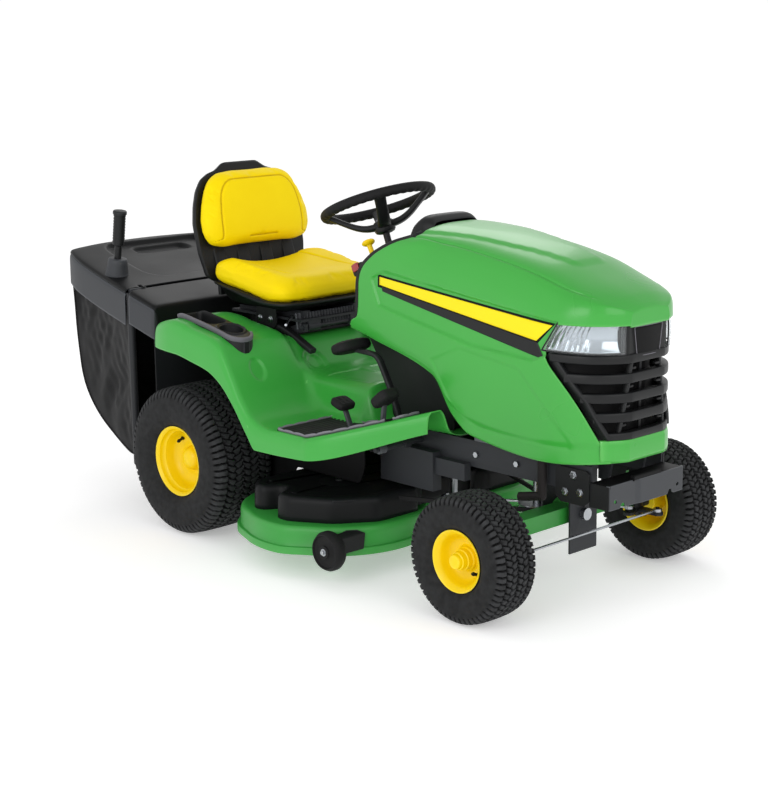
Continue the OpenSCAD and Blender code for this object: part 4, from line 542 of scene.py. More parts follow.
def tyre(name, x, y, z, d, w, rim_d, lugs, column, body):
    """Turf tyre. The cross section runs from bead to bead over the crown; round it, a block pattern sinks
    grooves: columns of blocks with zig-zag sides, every second column half a pitch on, and radial lugs on the
    shoulders."""
    h = (d - rim_d) / 2
    r0 = rim_d / 2
    key = np.array([[0, d / 2], [0.2 * w, d / 2 - 0.6], [0.36 * w, d / 2 - 3], [0.43 * w, d / 2 - 0.08 * h],
        [0.475 * w, d / 2 - 0.2 * h], [0.5 * w, r0 + 0.55 * h], [0.49 * w, r0 + 0.3 * h], [0.43 * w, r0 + 14],
        [0.4 * w, r0 + 9], [0.38 * w, r0 + 2], [0.3 * w, r0 + 0.5]])
    run = np.concatenate([[0], np.cumsum(np.linalg.norm(np.diff(key, axis=0), axis=1))])
    s = spread([0, run[4], run[5], run[10]], [46 if w < 200 else 62, 10, 16])
    half = np.column_stack([eased(s, *zip(run, key[:, 0])), eased(s, *zip(run, key[:, 1]))])
    band = np.vstack([half[::-1] * [-1, 1], half[1:]])
    reach = np.concatenate([s[::-1], s[1:]])[None]
    across, radius = band[None, :, 0], band[None, :, 1]
    count = 10 * lugs
    a = np.linspace(0, 2 * np.pi, count, endpoint=False)[:, None]
    pitch = np.pi * d / lugs
    c = a * d / 2
    zig = 4 * np.abs((c / pitch) % 1 - 0.5) - 1
    moved = across + 0.16 * column * zig
    k = np.round(moved / column)
    local = moved - k * column
    odd = np.where(k % 2 == 0, 1.0, -1.0)
    lap = c + 0.25 * pitch * (1 - odd) + 0.45 * local * odd
    gap = np.minimum(column / 2 - np.abs(local), pitch * (0.5 - np.abs((lap / pitch) % 1 - 0.5)))
    blocks = rise(gap, 1.4, 3.2)
    lean = c + 0.12 * np.abs(across)
    lug = rise(pitch * (0.5 - np.abs((lean / pitch) % 1 - 0.5)), 1.9, 3.8)
    border = 2.5 * column
    tread = np.abs(across) < border
    high = np.where(tread, blocks, lug) * rise(np.abs(np.abs(across) - border), 0.6, 2.2)
    fade = 1 - rise(reach, run[4] * 0.9, run[4] + 0.3 * (run[5] - run[4]))
    depth = 0.022 * d * fade * (1 - high)
    ring = 1.2 * bell(reach, run[5] + 10, 3) + 0.9 * bell(reach, run[6] + 6, 2.5)
    r = radius - depth + 0 * a
    yy = across + np.sign(across) * ring * 0.6 - np.sign(across) * depth * rise(np.abs(across),
        0.4 * w, 0.47 * w) + 0 * a
    yy = np.clip(yy, -0.5 * w, 0.5 * w)
    p = np.stack([x + r * np.cos(a), y + yy, z + r * np.sin(a)], -1)
    marks = {"relief": high * fade + 0.45 * (1 - fade) + 0 * a}
    piece(name, (p, grid(count, p.shape[1], True, True)), "tyre", body, name, core=None,
        marks=marks, crease=60)


def rim(name, s, x, y, z, front, body, node):
    """Pressed wheel: one profile carried round the axle, from the hub cap over the dished disc and the rolled
    flange, across the barrel and back along the inside."""
    if front:
        profile = [(0, 74), (12, 74), (19, 72.5), (21, 69), (22, 62), (25, 60), (26, 50), (27, 46), (30, 44),
            (31, 30), (34, 27), (36, 19), (40, 15.5), (48, 15), (58, 19), (66, 28), (70, 40), (73, 50),
            (76, 56), (81, 60), (86, 65.5), (89, 67), (90, 65), (88, 61.5), (82, 58), (81.6, 50), (76, 20),
            (76, -20), (81.6, -50), (82, -58), (89, -62), (90, -66), (87, -67), (80, -60), (73, -50),
            (70, -20), (66, 6), (50, 6), (34, 4), (31, -4), (31, -54), (29, -56), (0, -56)]
    else:
        profile = [(0, 63), (12, 62.5), (22, 60), (30, 55), (35, 48), (38, 40), (39, 33), (42, 29), (56, 27),
            (74, 30), (86, 38), (92, 50), (94, 66), (97, 74), (101, 77), (104, 84), (105, 92), (109, 97),
            (114, 101), (116, 100), (116, 97), (108, 94), (107.6, 80), (100, 40), (100, -40), (107.6, -80),
            (108, -94), (115, -97), (116, -101), (112, -102), (104, -92), (100, -70), (96, -20), (90, 18),
            (60, 19), (40, 18), (38, 10), (38, -100), (36, -104), (0, -104)]
    profile = np.array(profile, float)
    piece(name, turned(profile, (x, y, z), (0, s, 0), 96), "yellow", body, node, weld=True, crease=30)
    turn = math.radians(-38 if front else 132)
    out = np.array([math.cos(turn), 0, math.sin(turn)])
    base = 60 if front else 78
    depth = (24, 44) if front else (34, 60)
    a = np.array([x, y, z]) + out * base + np.array([0, s * depth[0], 0])
    b = a + np.array([0, s * (depth[1] - depth[0]), 0]) - out * 10
    size = np.array([1.35, 1.0, 0.85, 0.85, 1.1, 1.1, 0.7])[:, None, None]
    path = a + np.linspace(0, 1, 7)[:, None] * (b - a)
    piece(name + "_valve", swept(path, oval(5.2, 5.2, count=14) * size), "rubber", body)


def make_wheels():
    """Four wheels, the axle shafts, and the two gauge wheels."""
    for side, s in SIDES.items():
        tyre("front_tyre_" + side, FRONT, s * FRONT_TRACK, FRONT_AXLE, 368, 154, 164.5, 58, 21.5,
            "front_wheel_" + side)
        rim("front_wheel_disc_" + side, s, FRONT, s * FRONT_TRACK, FRONT_AXLE, True, "front_wheel_" + side,
            "front_rim_" + side)
        tyre("rear_tyre_" + side, REAR, s * REAR_TRACK, REAR_AXLE, 490, 240, 216.5, 70, 31,
            "rear_wheel_" + side)
        rim("rear_wheel_disc_" + side, s, REAR, s * REAR_TRACK, REAR_AXLE, False, "rear_wheel_" + side,
            "rear_rim_" + side)
        shaft = turned([(0, -346), (13, -346), (13, -100)], (REAR, s * REAR_TRACK, REAR_AXLE), (0, s, 0), 32)
        piece("axle_shaft_" + side, shaft, "steel", "rear_wheel_" + side, core=(REAR, s * 200, REAR_AXLE))
        half = [(7.3, -23), (19, -23), (20, -21.5), (20, -17), (26, -13), (40, -12), (47, -15), (50, -21),
            (53, -20.5), (57, -14), (60, -8)]
        profile = half + [(r, -t) for r, t in half[::-1]]
        piece("gauge_tread_" + side, turned(profile, (GAUGE_X, s * GAUGE_Y, GAUGE_Z), (0, s, 0), 72),
            "rubber", "gauge_" + side, "gauge_wheel_" + side)
        nut = turned([(0, 30), (6, 30), (7, 29), (7, 24), (11, 23.6), (11, 23.2), (0, 23.2)],
            (GAUGE_X, s * GAUGE_Y, GAUGE_Z), (0, s, 0), 18)
        piece("gauge_pin_" + side, nut, "zinc", "deck", weld=True)


# Hood

def hood_half(n):
    """Half-width of the hood at a distance n behind the nose."""
    return 84 + 138 * eased(n, (0, 0), (8, .16), (22, .34), (45, .55), (75, .72), (110, .84), (155, .93),
        (210, .98), (260, 1), (726, 1), (1010, .958))


def hood_crown(n):
    """Height of the hood's middle line."""
    return 868 + 176 * eased(n, (0, 0), (10, .06), (45, .2), (145, .43), (265, .66), (415, .83), (595, .965),
        (726, 1), (900, 1.0))


def hood_upper(n):
    """Height of the line at which the hood's side turns into its shoulder."""
    return eased(n, (0, 828.4), (155, 828.4), (450, 880), (950, 905))


def hood_belt(n):
    """Height of the line along which the hood is widest."""
    return along(n, (210, 738), (940, 759))


def hood_lines(n):
    """Guide lines from the middle to the lower edge: for each a share of the half-width and a height, both
    from n."""
    w = hood_half(n)
    soft = eased(n, (0, .3), (60, .7), (200, 1), (1010, 1))
    top = hood_crown(n)
    share = np.array([0, .42, .8, .96, .995, 1, .985, .955])
    fall = along(n[:, 3], (0, .2), (155, .8), (300, 1))
    shoulder = top[:, 3] - 24 * soft[:, 3] - 66 * soft[:, 3] ** 2 * fall + 31.5 * rise(n[:, 3], 690, 790)
    z = [top[:, 0], top[:, 1] - 3 * soft[:, 1], top[:, 2] - 24 * soft[:, 2], shoulder,
         hood_upper(n[:, 4]), hood_belt(n[:, 5]),
         eased(n[:, 6], (100, 610), (400, 604), (561, 622), (643, 664), (910, 726), (990, 744)),
         eased(n[:, 7], (24, 441), (210, 429), (486, 459), (561, 509), (643, 618), (902, 693), (1003, 716))]
    return np.stack([NOSE - n, -w * share, np.stack(z, 1)], -1)


HOOD_BACK = np.array([726, 726, 726, 841.5, 945, 951, 987, 1003.0])
HOOD_AHEAD = np.array([155, 155, 155, 155, 155, 210, 100, 24.0])
RECESS = [(838, 912), (896, 884), (858, 800), (477, 726), (240, 712), (168, 742), (150, 834)]
LOWER_FACET = [(640, 668), (525, 720), (290, 690), (238, 636), (118, 500), (122, 470), (460, 478), (560, 530)]


def hood_relief(p, v):
    """How far the skin is sunk, in mm: a groove on the shoulder line, a raised middle panel that narrows to
    the nose, the recess round the side stripe and a shallow flat on the lower side."""
    n, y, z = NOSE - p[..., 0], p[..., 1], p[..., 2]
    away = np.abs(v) + 0 * n
    groove = 4.0 * bell(away, 2.06, 0.055) * rise(n, 60, 120)
    ridge = along(n, (150, 40), (235, 62), (420, 104), (726, 150))
    panel = -5.0 * rise(ridge - np.abs(y), -5, 5) * rise(n, 196, 236) * (away < 2)
    side = away > 3.4
    recess = 8.0 * rise(inside(n, z, RECESS), 0, 7) * side
    flat = 2.5 * rise(inside(n, z, LOWER_FACET), -2, 10) * side
    lower = 5.0 * rise(away, 6.62, 6.78) * side
    return groove + panel + recess + flat + lower


def pushed(p, depth, core):
    """A grid of points sunk along its own normals, which point away from core."""
    du, dv = np.gradient(p, axis=0), np.gradient(p, axis=1)
    normal = np.cross(du, dv)
    normal /= np.linalg.norm(normal, axis=-1)[..., None] + 1e-9
    normal *= np.sign(np.sum(normal * (p - np.array(core, float)), -1))[..., None]
    return p - normal * depth[..., None]


def mirrored_lines(lines):
    """Guide lines of the right half continued over the middle to the left."""
    return np.concatenate([lines[:, ::-1], lines[:, 1:] * [1, -1, 1]], 1)


def hood_side(n, z):
    """Distance of the hood's side from the middle at n and z, on the floor of the recess."""
    w = hood_half(n)
    z4 = hood_upper(n)
    z5 = hood_belt(n)
    z6 = eased(n, (100, 610), (400, 604), (561, 622), (643, 664), (910, 726))
    up = np.clip((z - z5) / (z4 - z5), 0, 1.4)
    down = np.clip((z5 - z) / (z5 - z6), 0, 1)
    return w * (1 - 0.005 * up - 0.015 * down) - 8.0


def decal(name, s, corners, lift, finish_key, rows=10, columns=90):
    """Film on the hood's side: a four-cornered patch in n and z, laid on the skin at a small lift."""
    (n0, t0), (n1, t1), (n2, b2), (n3, b3) = corners
    a, b = np.linspace(0, 1, columns)[None], np.linspace(0, 1, rows)[:, None]
    n = (1 - b) * (n0 + (n1 - n0) * a) + b * (n3 + (n2 - n3) * a)
    z = (1 - b) * (t0 + (t1 - t0) * a) + b * (b3 + (b2 - b3) * a)
    p = np.stack([NOSE - n, s * (hood_side(n, z) + lift), z], -1)
    return piece(name, (p, grid(rows, columns)), finish_key, "hood", core=(700, 0, 700), wall=0.3)


def make_hood():
    """The hood's skin with the brow over the badge, its chin, the films on its sides and the trim strips
    along its rear edge."""
    v = np.unique(np.concatenate([spread([0, 1, 1.8, 2.3, 3, 4, 5, 6, 7], [8, 8, 22, 14, 12, 28, 26, 26]),
        [6.6, 6.64, 6.68, 6.72, 6.76]]))
    full = np.concatenate([-v[::-1], v[1:]])
    reach = eased(np.abs(full), (0, .5), (1, .5), (2, .4), (3, .55), (4, .3), (5, .3), (6, .3), (7, .1))
    u = np.linspace(0, 1, 170)[:, None]
    skin = rounded(mirrored_lines(hood_lines(HOOD_BACK + (HOOD_AHEAD - HOOD_BACK) * u)), full + 7, reach)
    core = (650, 0, 600)
    upper = np.abs(full) <= 4
    n = spread([155, 60, 14, 0], [26, 16, 12])[1:, None] * np.ones(8)
    whole = np.concatenate([skin, rounded(mirrored_lines(hood_lines(n)), full + 7, reach)])
    whole = pushed(whole, hood_relief(whole, full), core)
    skin = pushed(skin, hood_relief(skin, full), core)
    skin[:, upper] = whole[:170, upper]
    ahead = whole[169:, upper]
    tip = ahead[-1]
    foot = np.stack([tip[:, 0] - 1, 0.985 * tip[:, 1], np.full(len(tip), 818.5)], -1)
    brow = tip + np.linspace(0, 1, 8)[1:, None, None] * (foot - tip)
    ahead = np.concatenate([ahead, brow])
    shape = joined((skin, grid(*skin.shape[:2])), (ahead, grid(*ahead.shape[:2])))
    piece("hood_skin", shape, "hood", "hood", "hood_shell", wall=3.2, core=core, crease=50, weld=True)
    rows = np.array([[2, 441], [0, 452], [0, 492], [3, 503], [7, 505.5]])
    n = 22 * np.linspace(1, 0, 26) ** 2
    half = np.column_stack([NOSE - n - 2, hood_half(n) * 0.95 - 2])
    path = np.vstack([half * [1, -1], half[-2::-1]])
    path = np.vstack([[NOSE - 48, -hood_half(48) * .95 + 4], path, [NOSE - 48, hood_half(48) * .95 - 4]])
    path = rounded(path, np.linspace(0, len(path) - 1, 150), 2.0, axis=0)
    chin = np.stack([np.column_stack([path[:, 0] - d, path[:, 1] * (1 - d / 300), np.full(len(path), z)])
        for d, z in rows])
    piece("hood_chin", (chin, grid(*chin.shape[:2])), "hood", "hood", wall=4, core=(900, 0, 470))
    ears = [upright([(1106, 448), (1156, 448), (1170, 454), (1170, 470), (1156, 476),
        (1106, 476), (1100, 462)], e * 96 - 6, e * 96 + 6) for e in (-1, 1)]
    piece("hood_hinge_ears", joined(*ears), "coat", "hood", bevel=1.5)
    for side, s in SIDES.items():
        decal("stripe_border_" + side, s, [(866, 896), (166, 826), (226, 764), (867, 858)], 0.5, "film")
        decal("stripe_" + side, s, [(858, 889), (175, 820), (229, 772), (859, 865)], 1.0, "decal")
        decal("stripe_shadow_band_" + side, s, [(850, 860), (224, 767),
            (201, 722), (846, 846)], 0.7, "grille")
        edge = skin[0][(full * s > 1.7) & (full * s < 5.2)]
        trim = edge + [-8.5, 0, 0] - np.array([0, 3, 0]) * np.sign(edge[:, 1:2])
        piece("cowl_trim_" + side, swept(trim, oval(6.5, 3, 4.0, 14), over=(0, s, 0.2)), "black",
            "chassis", crease=50)


def nose_path(reach_back, share, depth, count=48):
    """Plan path round the nose: from a reach behind it on one side, over the front, to the other side."""
    n = reach_back * np.linspace(1, 0, count) ** 2
    half = np.column_stack([NOSE - n - depth, hood_half(n) * share - depth])
    path = np.vstack([half * [1, -1], half[::-1]])
    return rounded(path, np.linspace(0, len(path) - 1, 3 * count), 2.5, axis=0)


def make_grille():
    """Curved bars round the nose with a dark screen behind, painted shade for the unlit inside of the nose,
    sloping end frames, leaning pillars with tabs, the bare badge plate in its panel, and the lamps."""
    back_at = ((506, 44), (610, 92), (742, 196))
    parts = []
    for k in range(5):
        z = 514 + k * 54
        path = nose_path(along(z, *back_at) - 14, 0.97, 15)
        parts.append(swept(np.column_stack([path, np.full(len(path), z)]),
            oval(13, (11, 14, 14, 14, 13)[k], 5.0, 20)))
    for s in (-1, 1):
        z = np.linspace(508, 738, 40)
        n = along(z, *back_at) - 12
        side = np.column_stack([NOSE - n - 14, s * (hood_half(n) * 0.97 - 14), z])
        parts.append(swept(side, oval(8, 17, 5.0, 18), over=(1, 0, 0)))
        t = np.linspace(0, 1, 24)
        pillar = np.column_stack([NOSE - 20 - 14 * t ** 2, s * (58 + 40 * t), 738 - 230 * t])
        parts.append(swept(pillar, oval(5, 9, 4.0, 14), over=(1, 0, 0)))
        parts += [placed(block((16, 22, 8), 5.0, 10, 24), (NOSE - 20 - 14 * q ** 2,
            s * (46 + 40 * q), 738 - 230 * q)) for q in (0.16, 0.38, 0.62, 0.85)]
    parts.append(swept(np.array([[NOSE - 34, 0, 507], [NOSE - 34, 0, 620], [NOSE - 34, 0, 740.0]]),
        oval(3.6, 5, 4.0, 12), over=(0, 1, 0)))
    piece("grille_bars", joined(*parts), "grille", "hood", "grille", crease=50)
    # Painted shade: a matt black sheet behind the bars stands in for the unlit inside of the nose
    screen = np.stack([np.column_stack([nose_path(along(z, *back_at) - 6, 0.95,
        44 - 30 * np.linspace(1, 0, 48) ** 4), np.full(144, z)]) for z in np.linspace(500, 745, 16)])
    piece("grille_shade_screen", (screen, grid(*screen.shape[:2])), "film", "hood", wall=2, core=(900, 0, 620))
    y, z = np.meshgrid(np.linspace(-98, 98, 70), np.linspace(734, 824, 20))
    panel = np.stack([NOSE - 10 - 10 * rise(np.abs(y), 78, 98), y, z], -1)
    piece("badge_panel", (panel, grid(20, 70)), "grille", "hood", wall=3, core=(1000, 0, 780))
    y, z = np.meshgrid(np.linspace(-1, 1, 60), np.linspace(0, 1, 24))
    wide = 62 - 14 * (1 - z)
    plate = np.stack([NOSE - 3 - 4 * y ** 2 - 5 * (1 - rise(np.minimum(1 - np.abs(y),
        np.minimum(z, 1 - z)) * 60, 0, 4)), wide * y, 734 + 84 * z], -1)
    piece("badge_plate", (plate, grid(24, 60)), "film", "hood", wall=4, core=(1000, 0, 770))
    loop = softened([(-1, 0), (1, 0), (1, 1), (-1, 1)], 0.02, 0.06)
    frame_path = np.column_stack([NOSE - 2.2 - 4 * loop[:, 0] ** 2, (49 + 13 * loop[:, 1]) * loop[:, 0],
        735 + 82 * loop[:, 1]])
    piece("badge_frame", swept(frame_path, oval(1.3, 1.3, count=10),
        over=(1, 0.001, 0.001), ring=True), "grey", "hood")
    t, h = np.linspace(0, 1, 70)[None], np.linspace(0, 1, 24)[:, None]
    n = 5 + (147 + 52 * (1 - h)) * t ** 1.5
    for side, s in SIDES.items():
        def lamp(depth, under, over):
            """Lamp face: rows between a lower and an upper edge, set behind the hood's outline by depth."""
            return np.stack([NOSE - n - 3 - depth, s * (hood_half(n) * 0.985 - 2 - 0.8 * depth),
                743 + 4 * t + under + (84 - under - over) * h], -1)
        ribs = 1.6 * np.sin(t * 2 * np.pi * 16) * rise(t, 0.42, 0.5) + 10 * np.sin(np.pi * h)
        piece("lamp_reflector_" + side, (lamp(12 + ribs, 4, 4), grid(24, 70)), "mirror", "hood", wall=2,
            core=(900, 0, 780))
        glass = lamp(1.5 - 1.5 * np.sin(np.pi * h), 1, 1)
        piece("lamp_lens_" + side, (glass, grid(24, 70)), "lens", "hood", "headlights", wall=1.6,
            core=(900, 0, 780))
        rim_path = np.vstack([glass[0], glass[1:, -1], glass[-1, -2::-1], glass[-2:0:-1, 0]]) - [2, s, 0]
        piece("lamp_edge_" + side, swept(rim_path, oval(2.4, 2.4, count=10), over=(0.5, -s, 0.01), ring=True),
            "grille", "hood")


# Fenders and footboards

def fender_top(x):
    """Height of the fender, the footboard and its front ramp; x is the distance ahead of the rear axle."""
    return eased(x, (-150, 655), (-115, 682), (-60, 702), (0, 712), (40, 708), (80, 698), (200, 676),
        (235, 658), (262, 624), (300, 562), (340, 497), (385, 450), (430, 431), (480, 425), (620, 425),
        (660, 434), (960, 524))


def fender_lines(x):
    """Guide lines of the moulding from the skirt's lower edge over the fender or footboard and the tunnel
    wall to the middle."""
    low = eased(x, (-150, 610), (20, 604), (107, 589), (183, 572), (240, 543), (303, 484), (372, 395),
        (410, 353), (640, 361), (960, 460))
    edge = eased(x, (-150, 444), (-100, 474), (-20, 486), (60, 488), (640, 488), (660, 485), (960, 283))
    middle = eased(x, (-150, 640), (200, 640), (320, 548), (360, 540), (600, 540), (660, 434), (960, 434))
    top = fender_top(x)
    y = [edge + 2, edge, edge - 14, np.full_like(x, 221), np.full_like(x, 185), 0 * x]
    z = [low, top - 16, top, top, middle, middle]
    return np.stack([np.stack([REAR + x, -a, b], -1) for a, b in zip(y, z)], 1)[:, ::-1]


POCKET = [(-24, 348), (112, 348), (128, 370), (128, 408), (112, 430), (-24, 430)]
SLOTS = ((454, -330, -14, 46), (454, -228, -116, 2), (454, 300, -14, 52), (334, -330, -42, 8))


def in_slot(p, room):
    """Which points lie in the pedals' slots, widened by room."""
    hit = np.zeros(len(p), bool)
    for x, y, back, ahead in SLOTS:
        hit |= (p[:, 0] > x + back - room) & (p[:, 0] < x + ahead + room) & (np.abs(p[:, 1] - y) < 11
            + room) & (p[:, 2] > 415)
    return hit


def make_fenders():
    """The green moulding with its openings and pressed dishes, and two mats with scalloped edges."""
    x = np.unique(np.concatenate([np.linspace(-150, 960, 220), np.linspace(230, 400, 60)]))
    v = spread([0, 1, 2, 3, 4, 5], [26, 12, 54, 8, 16])
    full = np.concatenate([-v[::-1], v[1:]])
    away = np.abs(full)
    reach = eased(away, (0, .2), (1, .32), (2, .3), (3, .14), (4, .5), (5, .1))
    skin = rounded(mirrored_lines(fender_lines(x)), full + 5, reach)
    rx, y = skin[..., 0] - REAR, np.abs(skin[..., 1])
    ring = np.hypot((rx - 292) * 1.2, y - 132)
    dish = (4 * rise(44 - ring, 0, 5) + 4 * rise(26 - ring, 0, 5)) * (away < 1)
    oval_dish = 6 * rise(1 - np.hypot((rx - 292) / 22, (y - 372) / 32), 0, 0.3) * ((away > 1.5) & (away < 4))
    rib = -4 * bell(np.abs(y - 470), 0, 6) * rise(rx, 470, 520) * (1 - rise(rx, 600, 640))
    tunnel = 3 * rise(inside(rx, y, [(382, 20), (580, 20), (580, 150), (382, 165)]), 0, 8) * (away < 1)
    core = (REAR + 300, 0, 100)
    skin = pushed(skin, dish + oval_dish + rib + tunnel, core)
    faces = grid(*skin.shape[:2])
    mid = skin.reshape(-1, 3)[faces].mean(1)
    hole = (np.hypot(mid[:, 0] - REAR - CUP_X, np.abs(mid[:, 1]) - CUP_Y) < 44) & (mid[:, 2] > 600)
    hole |= (inside(mid[:, 0] - REAR, np.abs(mid[:, 1]), POCKET) > -3) & (mid[:, 2] > 600)
    hole |= in_slot(mid, 4) | (np.hypot(mid[:, 0] - 337.4, mid[:, 1]) < 29) | (np.hypot(mid[:, 0] - REAR - 36,
        mid[:, 1] - 268) < 27)
    piece("fender_pressing", (skin, faces[~hole]), "fender", "chassis", "fender_deck", wall=3.4,
        core=core, crease=60)
    for side, s in SIDES.items():
        # Painted shade: a matt black sheet inside each rear wheel and under the footboard stands in for the
        # shaded gap between tyre and frame
        panel = softened([(140, 420), (140, 100), (232, 100), (236, 174), (330, 174), (334, 246), (640, 246),
            (662, 300), (662, 414), (430, 418), (380, 416), (300, 420)], 6, 12) + [REAR, 0]
        piece("underboard_shade_sheet_" + side, upright(panel, s * 258, s * 262), "film", "chassis",
            core=(REAR + 480, s * 260, 330))
        a, b = np.linspace(491, 879, 240)[:, None], np.linspace(0, 1, 110)[None]
        outer = along(a, (490, 465), (660, 465), (880, 315))
        across = 234 + (outer - 234) * b
        border = np.minimum(np.minimum(a - 491, 879 - a), np.minimum(across - 234, outer - across))
        rib = 1.3 * (0.5 + 0.5 * np.tanh(4 * np.sin(a / 9 * np.pi))) * rise(border, 14, 18)
        mat = np.stack([REAR + a + 0 * b, s * across,
            fender_top(a) + 6.2 - rib - 1.5 * (1 - rise(border, 0, 3))], -1)
        faces = grid(240, 110)
        mid = mat.reshape(-1, 3)[faces].mean(1)
        piece("foot_mat_" + side, (mat, faces[~in_slot(mid, 6)]), "rubber", "chassis", "foot_mats"
            if s < 0 else (), wall=5.8, core=(REAR + 600, s * 350, 200))
        ring = softened([(490, 233), (880, 233), (880, 316), (660, 466), (490, 466)], 4, 12)
        run = np.cumsum(np.linalg.norm(np.diff(np.vstack([ring, ring[:1]]), axis=0), axis=1))
        lip = 6 + 5 * np.abs(np.sin(run / 48 * np.pi)) ** 0.3
        rows = []
        for inset, up in ((-1, 0.3 + 0 * run), (-3.5, 0.5 * lip), (-1, lip), (3.5, 5.4 + 0 * run)):
            q = drawn_in(ring, inset)
            rows.append(np.column_stack([REAR + q[:, 0], s * q[:, 1], fender_top(ring[:, 0]) + up]))
        rows = np.stack(rows)
        faces = grid(*rows.shape[:2], ring_columns=True)
        faces = faces[~in_slot(rows.reshape(-1, 3)[faces].mean(1), 5)]
        piece("mat_edge_" + side, (rows, faces), "grey", "chassis", core=(REAR + 680, s * 350, 400))


def tray_half(x):
    """Half-width of the console: even, closing in a small round at the rear and a half circle at the
    front."""
    ahead = np.clip((x - 211) / 51, 0, 1)
    behind = np.clip((-22 - x) / 18, 0, 1)
    return 51 * np.sqrt(np.clip(1 - ahead ** 2, 0.03, 1)) - 18 * (1 - np.sqrt(1 - behind ** 2))


def console_top(x):
    """Height of the console's top, which follows the fender down."""
    return eased(x, (-40, 714), (-10, 725), (60, 716), (200, 690), (262, 672))


def make_trays():
    """Two consoles on the fenders: rows along the machine whose width closes at the ends, a turned-down edge,
    a sunk pocket, a raised cup ring snapped to its circle, and a turned cup."""
    x = np.linspace(-40, 262, 250)[:, None]
    b = np.concatenate([[-1], np.linspace(-1, 1, 88), [1]])[None]
    x, b = np.vstack([x[:1], x, x[-1:]]) + 0 * b, b + 0 * np.vstack([x[:1], x, x[-1:]])
    wide = tray_half(x)
    y = CUP_Y + wide * b
    cup = np.hypot(x - CUP_X, y - CUP_Y)
    near = np.abs(cup - 38.6) < 0.9
    pull = np.where(near, 38.6 / np.maximum(cup, 1), 1)
    x2, y2 = CUP_X + (x - CUP_X) * pull, CUP_Y + (y - CUP_Y) * pull
    border = np.minimum(wide * (1 - np.abs(b)), 151 - np.abs(x - 111))
    sunk = 40 * rise(inside(x, y, softened(POCKET, 3, 12)), -1, 6)
    z = console_top(x) - 8 * (1 - rise(border, 0, 8)) - sunk + 5 * bell(cup, 45, 3.5)
    rows, columns = z.shape
    skirt = np.zeros(z.shape, bool)
    skirt[[0, -1]] = True
    skirt[:, [0, -1]] = True
    z = np.where(skirt, np.minimum(fender_top(x) - 1, z - 1), z)
    faces = grid(rows, columns)
    hub = np.hypot(x2 - CUP_X, y2 - CUP_Y).ravel()
    faces = faces[hub[faces].max(1) > 38.7]
    for side, s in SIDES.items():
        p = np.stack([REAR + x2, s * y2, z], -1)
        piece("fender_console_" + side, (p, faces), "black", "chassis", "fender_trays" if s < 0 else (),
            core=(REAR + 100, s * CUP_Y, 300), crease=50)
        cup_wall = [(0, 606), (40, 606), (42, 608), (42, 712), (38.6, 714), (38.4, 704), (38.4, 614),
            (36, 611), (0, 611)]
        p, f = turned(cup_wall, (REAR + CUP_X, s * CUP_Y, 0), (0, 0, 1), 64)
        p[..., 2] = np.minimum(p[..., 2], console_top(p[..., 0] - REAR) - 0.5)
        piece("cup_" + side, (p, f), "black", "chassis", weld=True, crease=50)
        turn = np.radians(np.linspace(90, -70, 40))
        rail = np.vstack([np.column_stack([np.linspace(-24, 208, 60), np.full(60, 437.0)]),
            np.column_stack([211 + 48 * np.cos(turn), CUP_Y + 48 * np.sin(turn)])])
        rail = np.column_stack([REAR + rail[:, 0], s * rail[:, 1], console_top(rail[:, 0]) - 5])
        piece("console_edge_" + side, swept(rail, oval(5.5, 8, 3.0, 16)), "grey", "chassis")


# Mower deck

def deck_outline(inset):
    """Plan of the deck: an arc round each spindle joined by straight runs at the front and the back, all
    drawn in by inset, and made fuller towards its rear corners."""
    r, ahead, back = 285 - inset, 200 - inset, inset - 250
    f = math.atan2(math.sqrt(r * r - ahead * ahead), ahead)
    b = math.atan2(math.sqrt(r * r - back * back), back) - 2 * math.pi
    a = np.linspace(f, b, 150)
    lobe = np.column_stack([r * np.cos(a), -SPINDLE + r * np.sin(a)])
    other = lobe[::-1] * [1, -1]
    t = np.linspace(0, 1, 26)[1:-1, None]
    ring = np.vstack([lobe, lobe[-1] + t * (other[0] - lobe[-1]), other,
        other[-1] + t * (lobe[0] - other[-1])])
    fuller = (20 * (1 - rise(ring[:, 0], 40, 140))
        + 26 * rise(-ring[:, 0], 110, 240)) * rise(np.abs(ring[:, 1]), 130, 230)
    out = ring - np.column_stack([0 * ring[:, 0], SPINDLE * np.sign(ring[:, 1])])
    out /= np.linalg.norm(out, axis=1)[:, None]
    return ring + fuller[:, None] * out + [MID, 0]


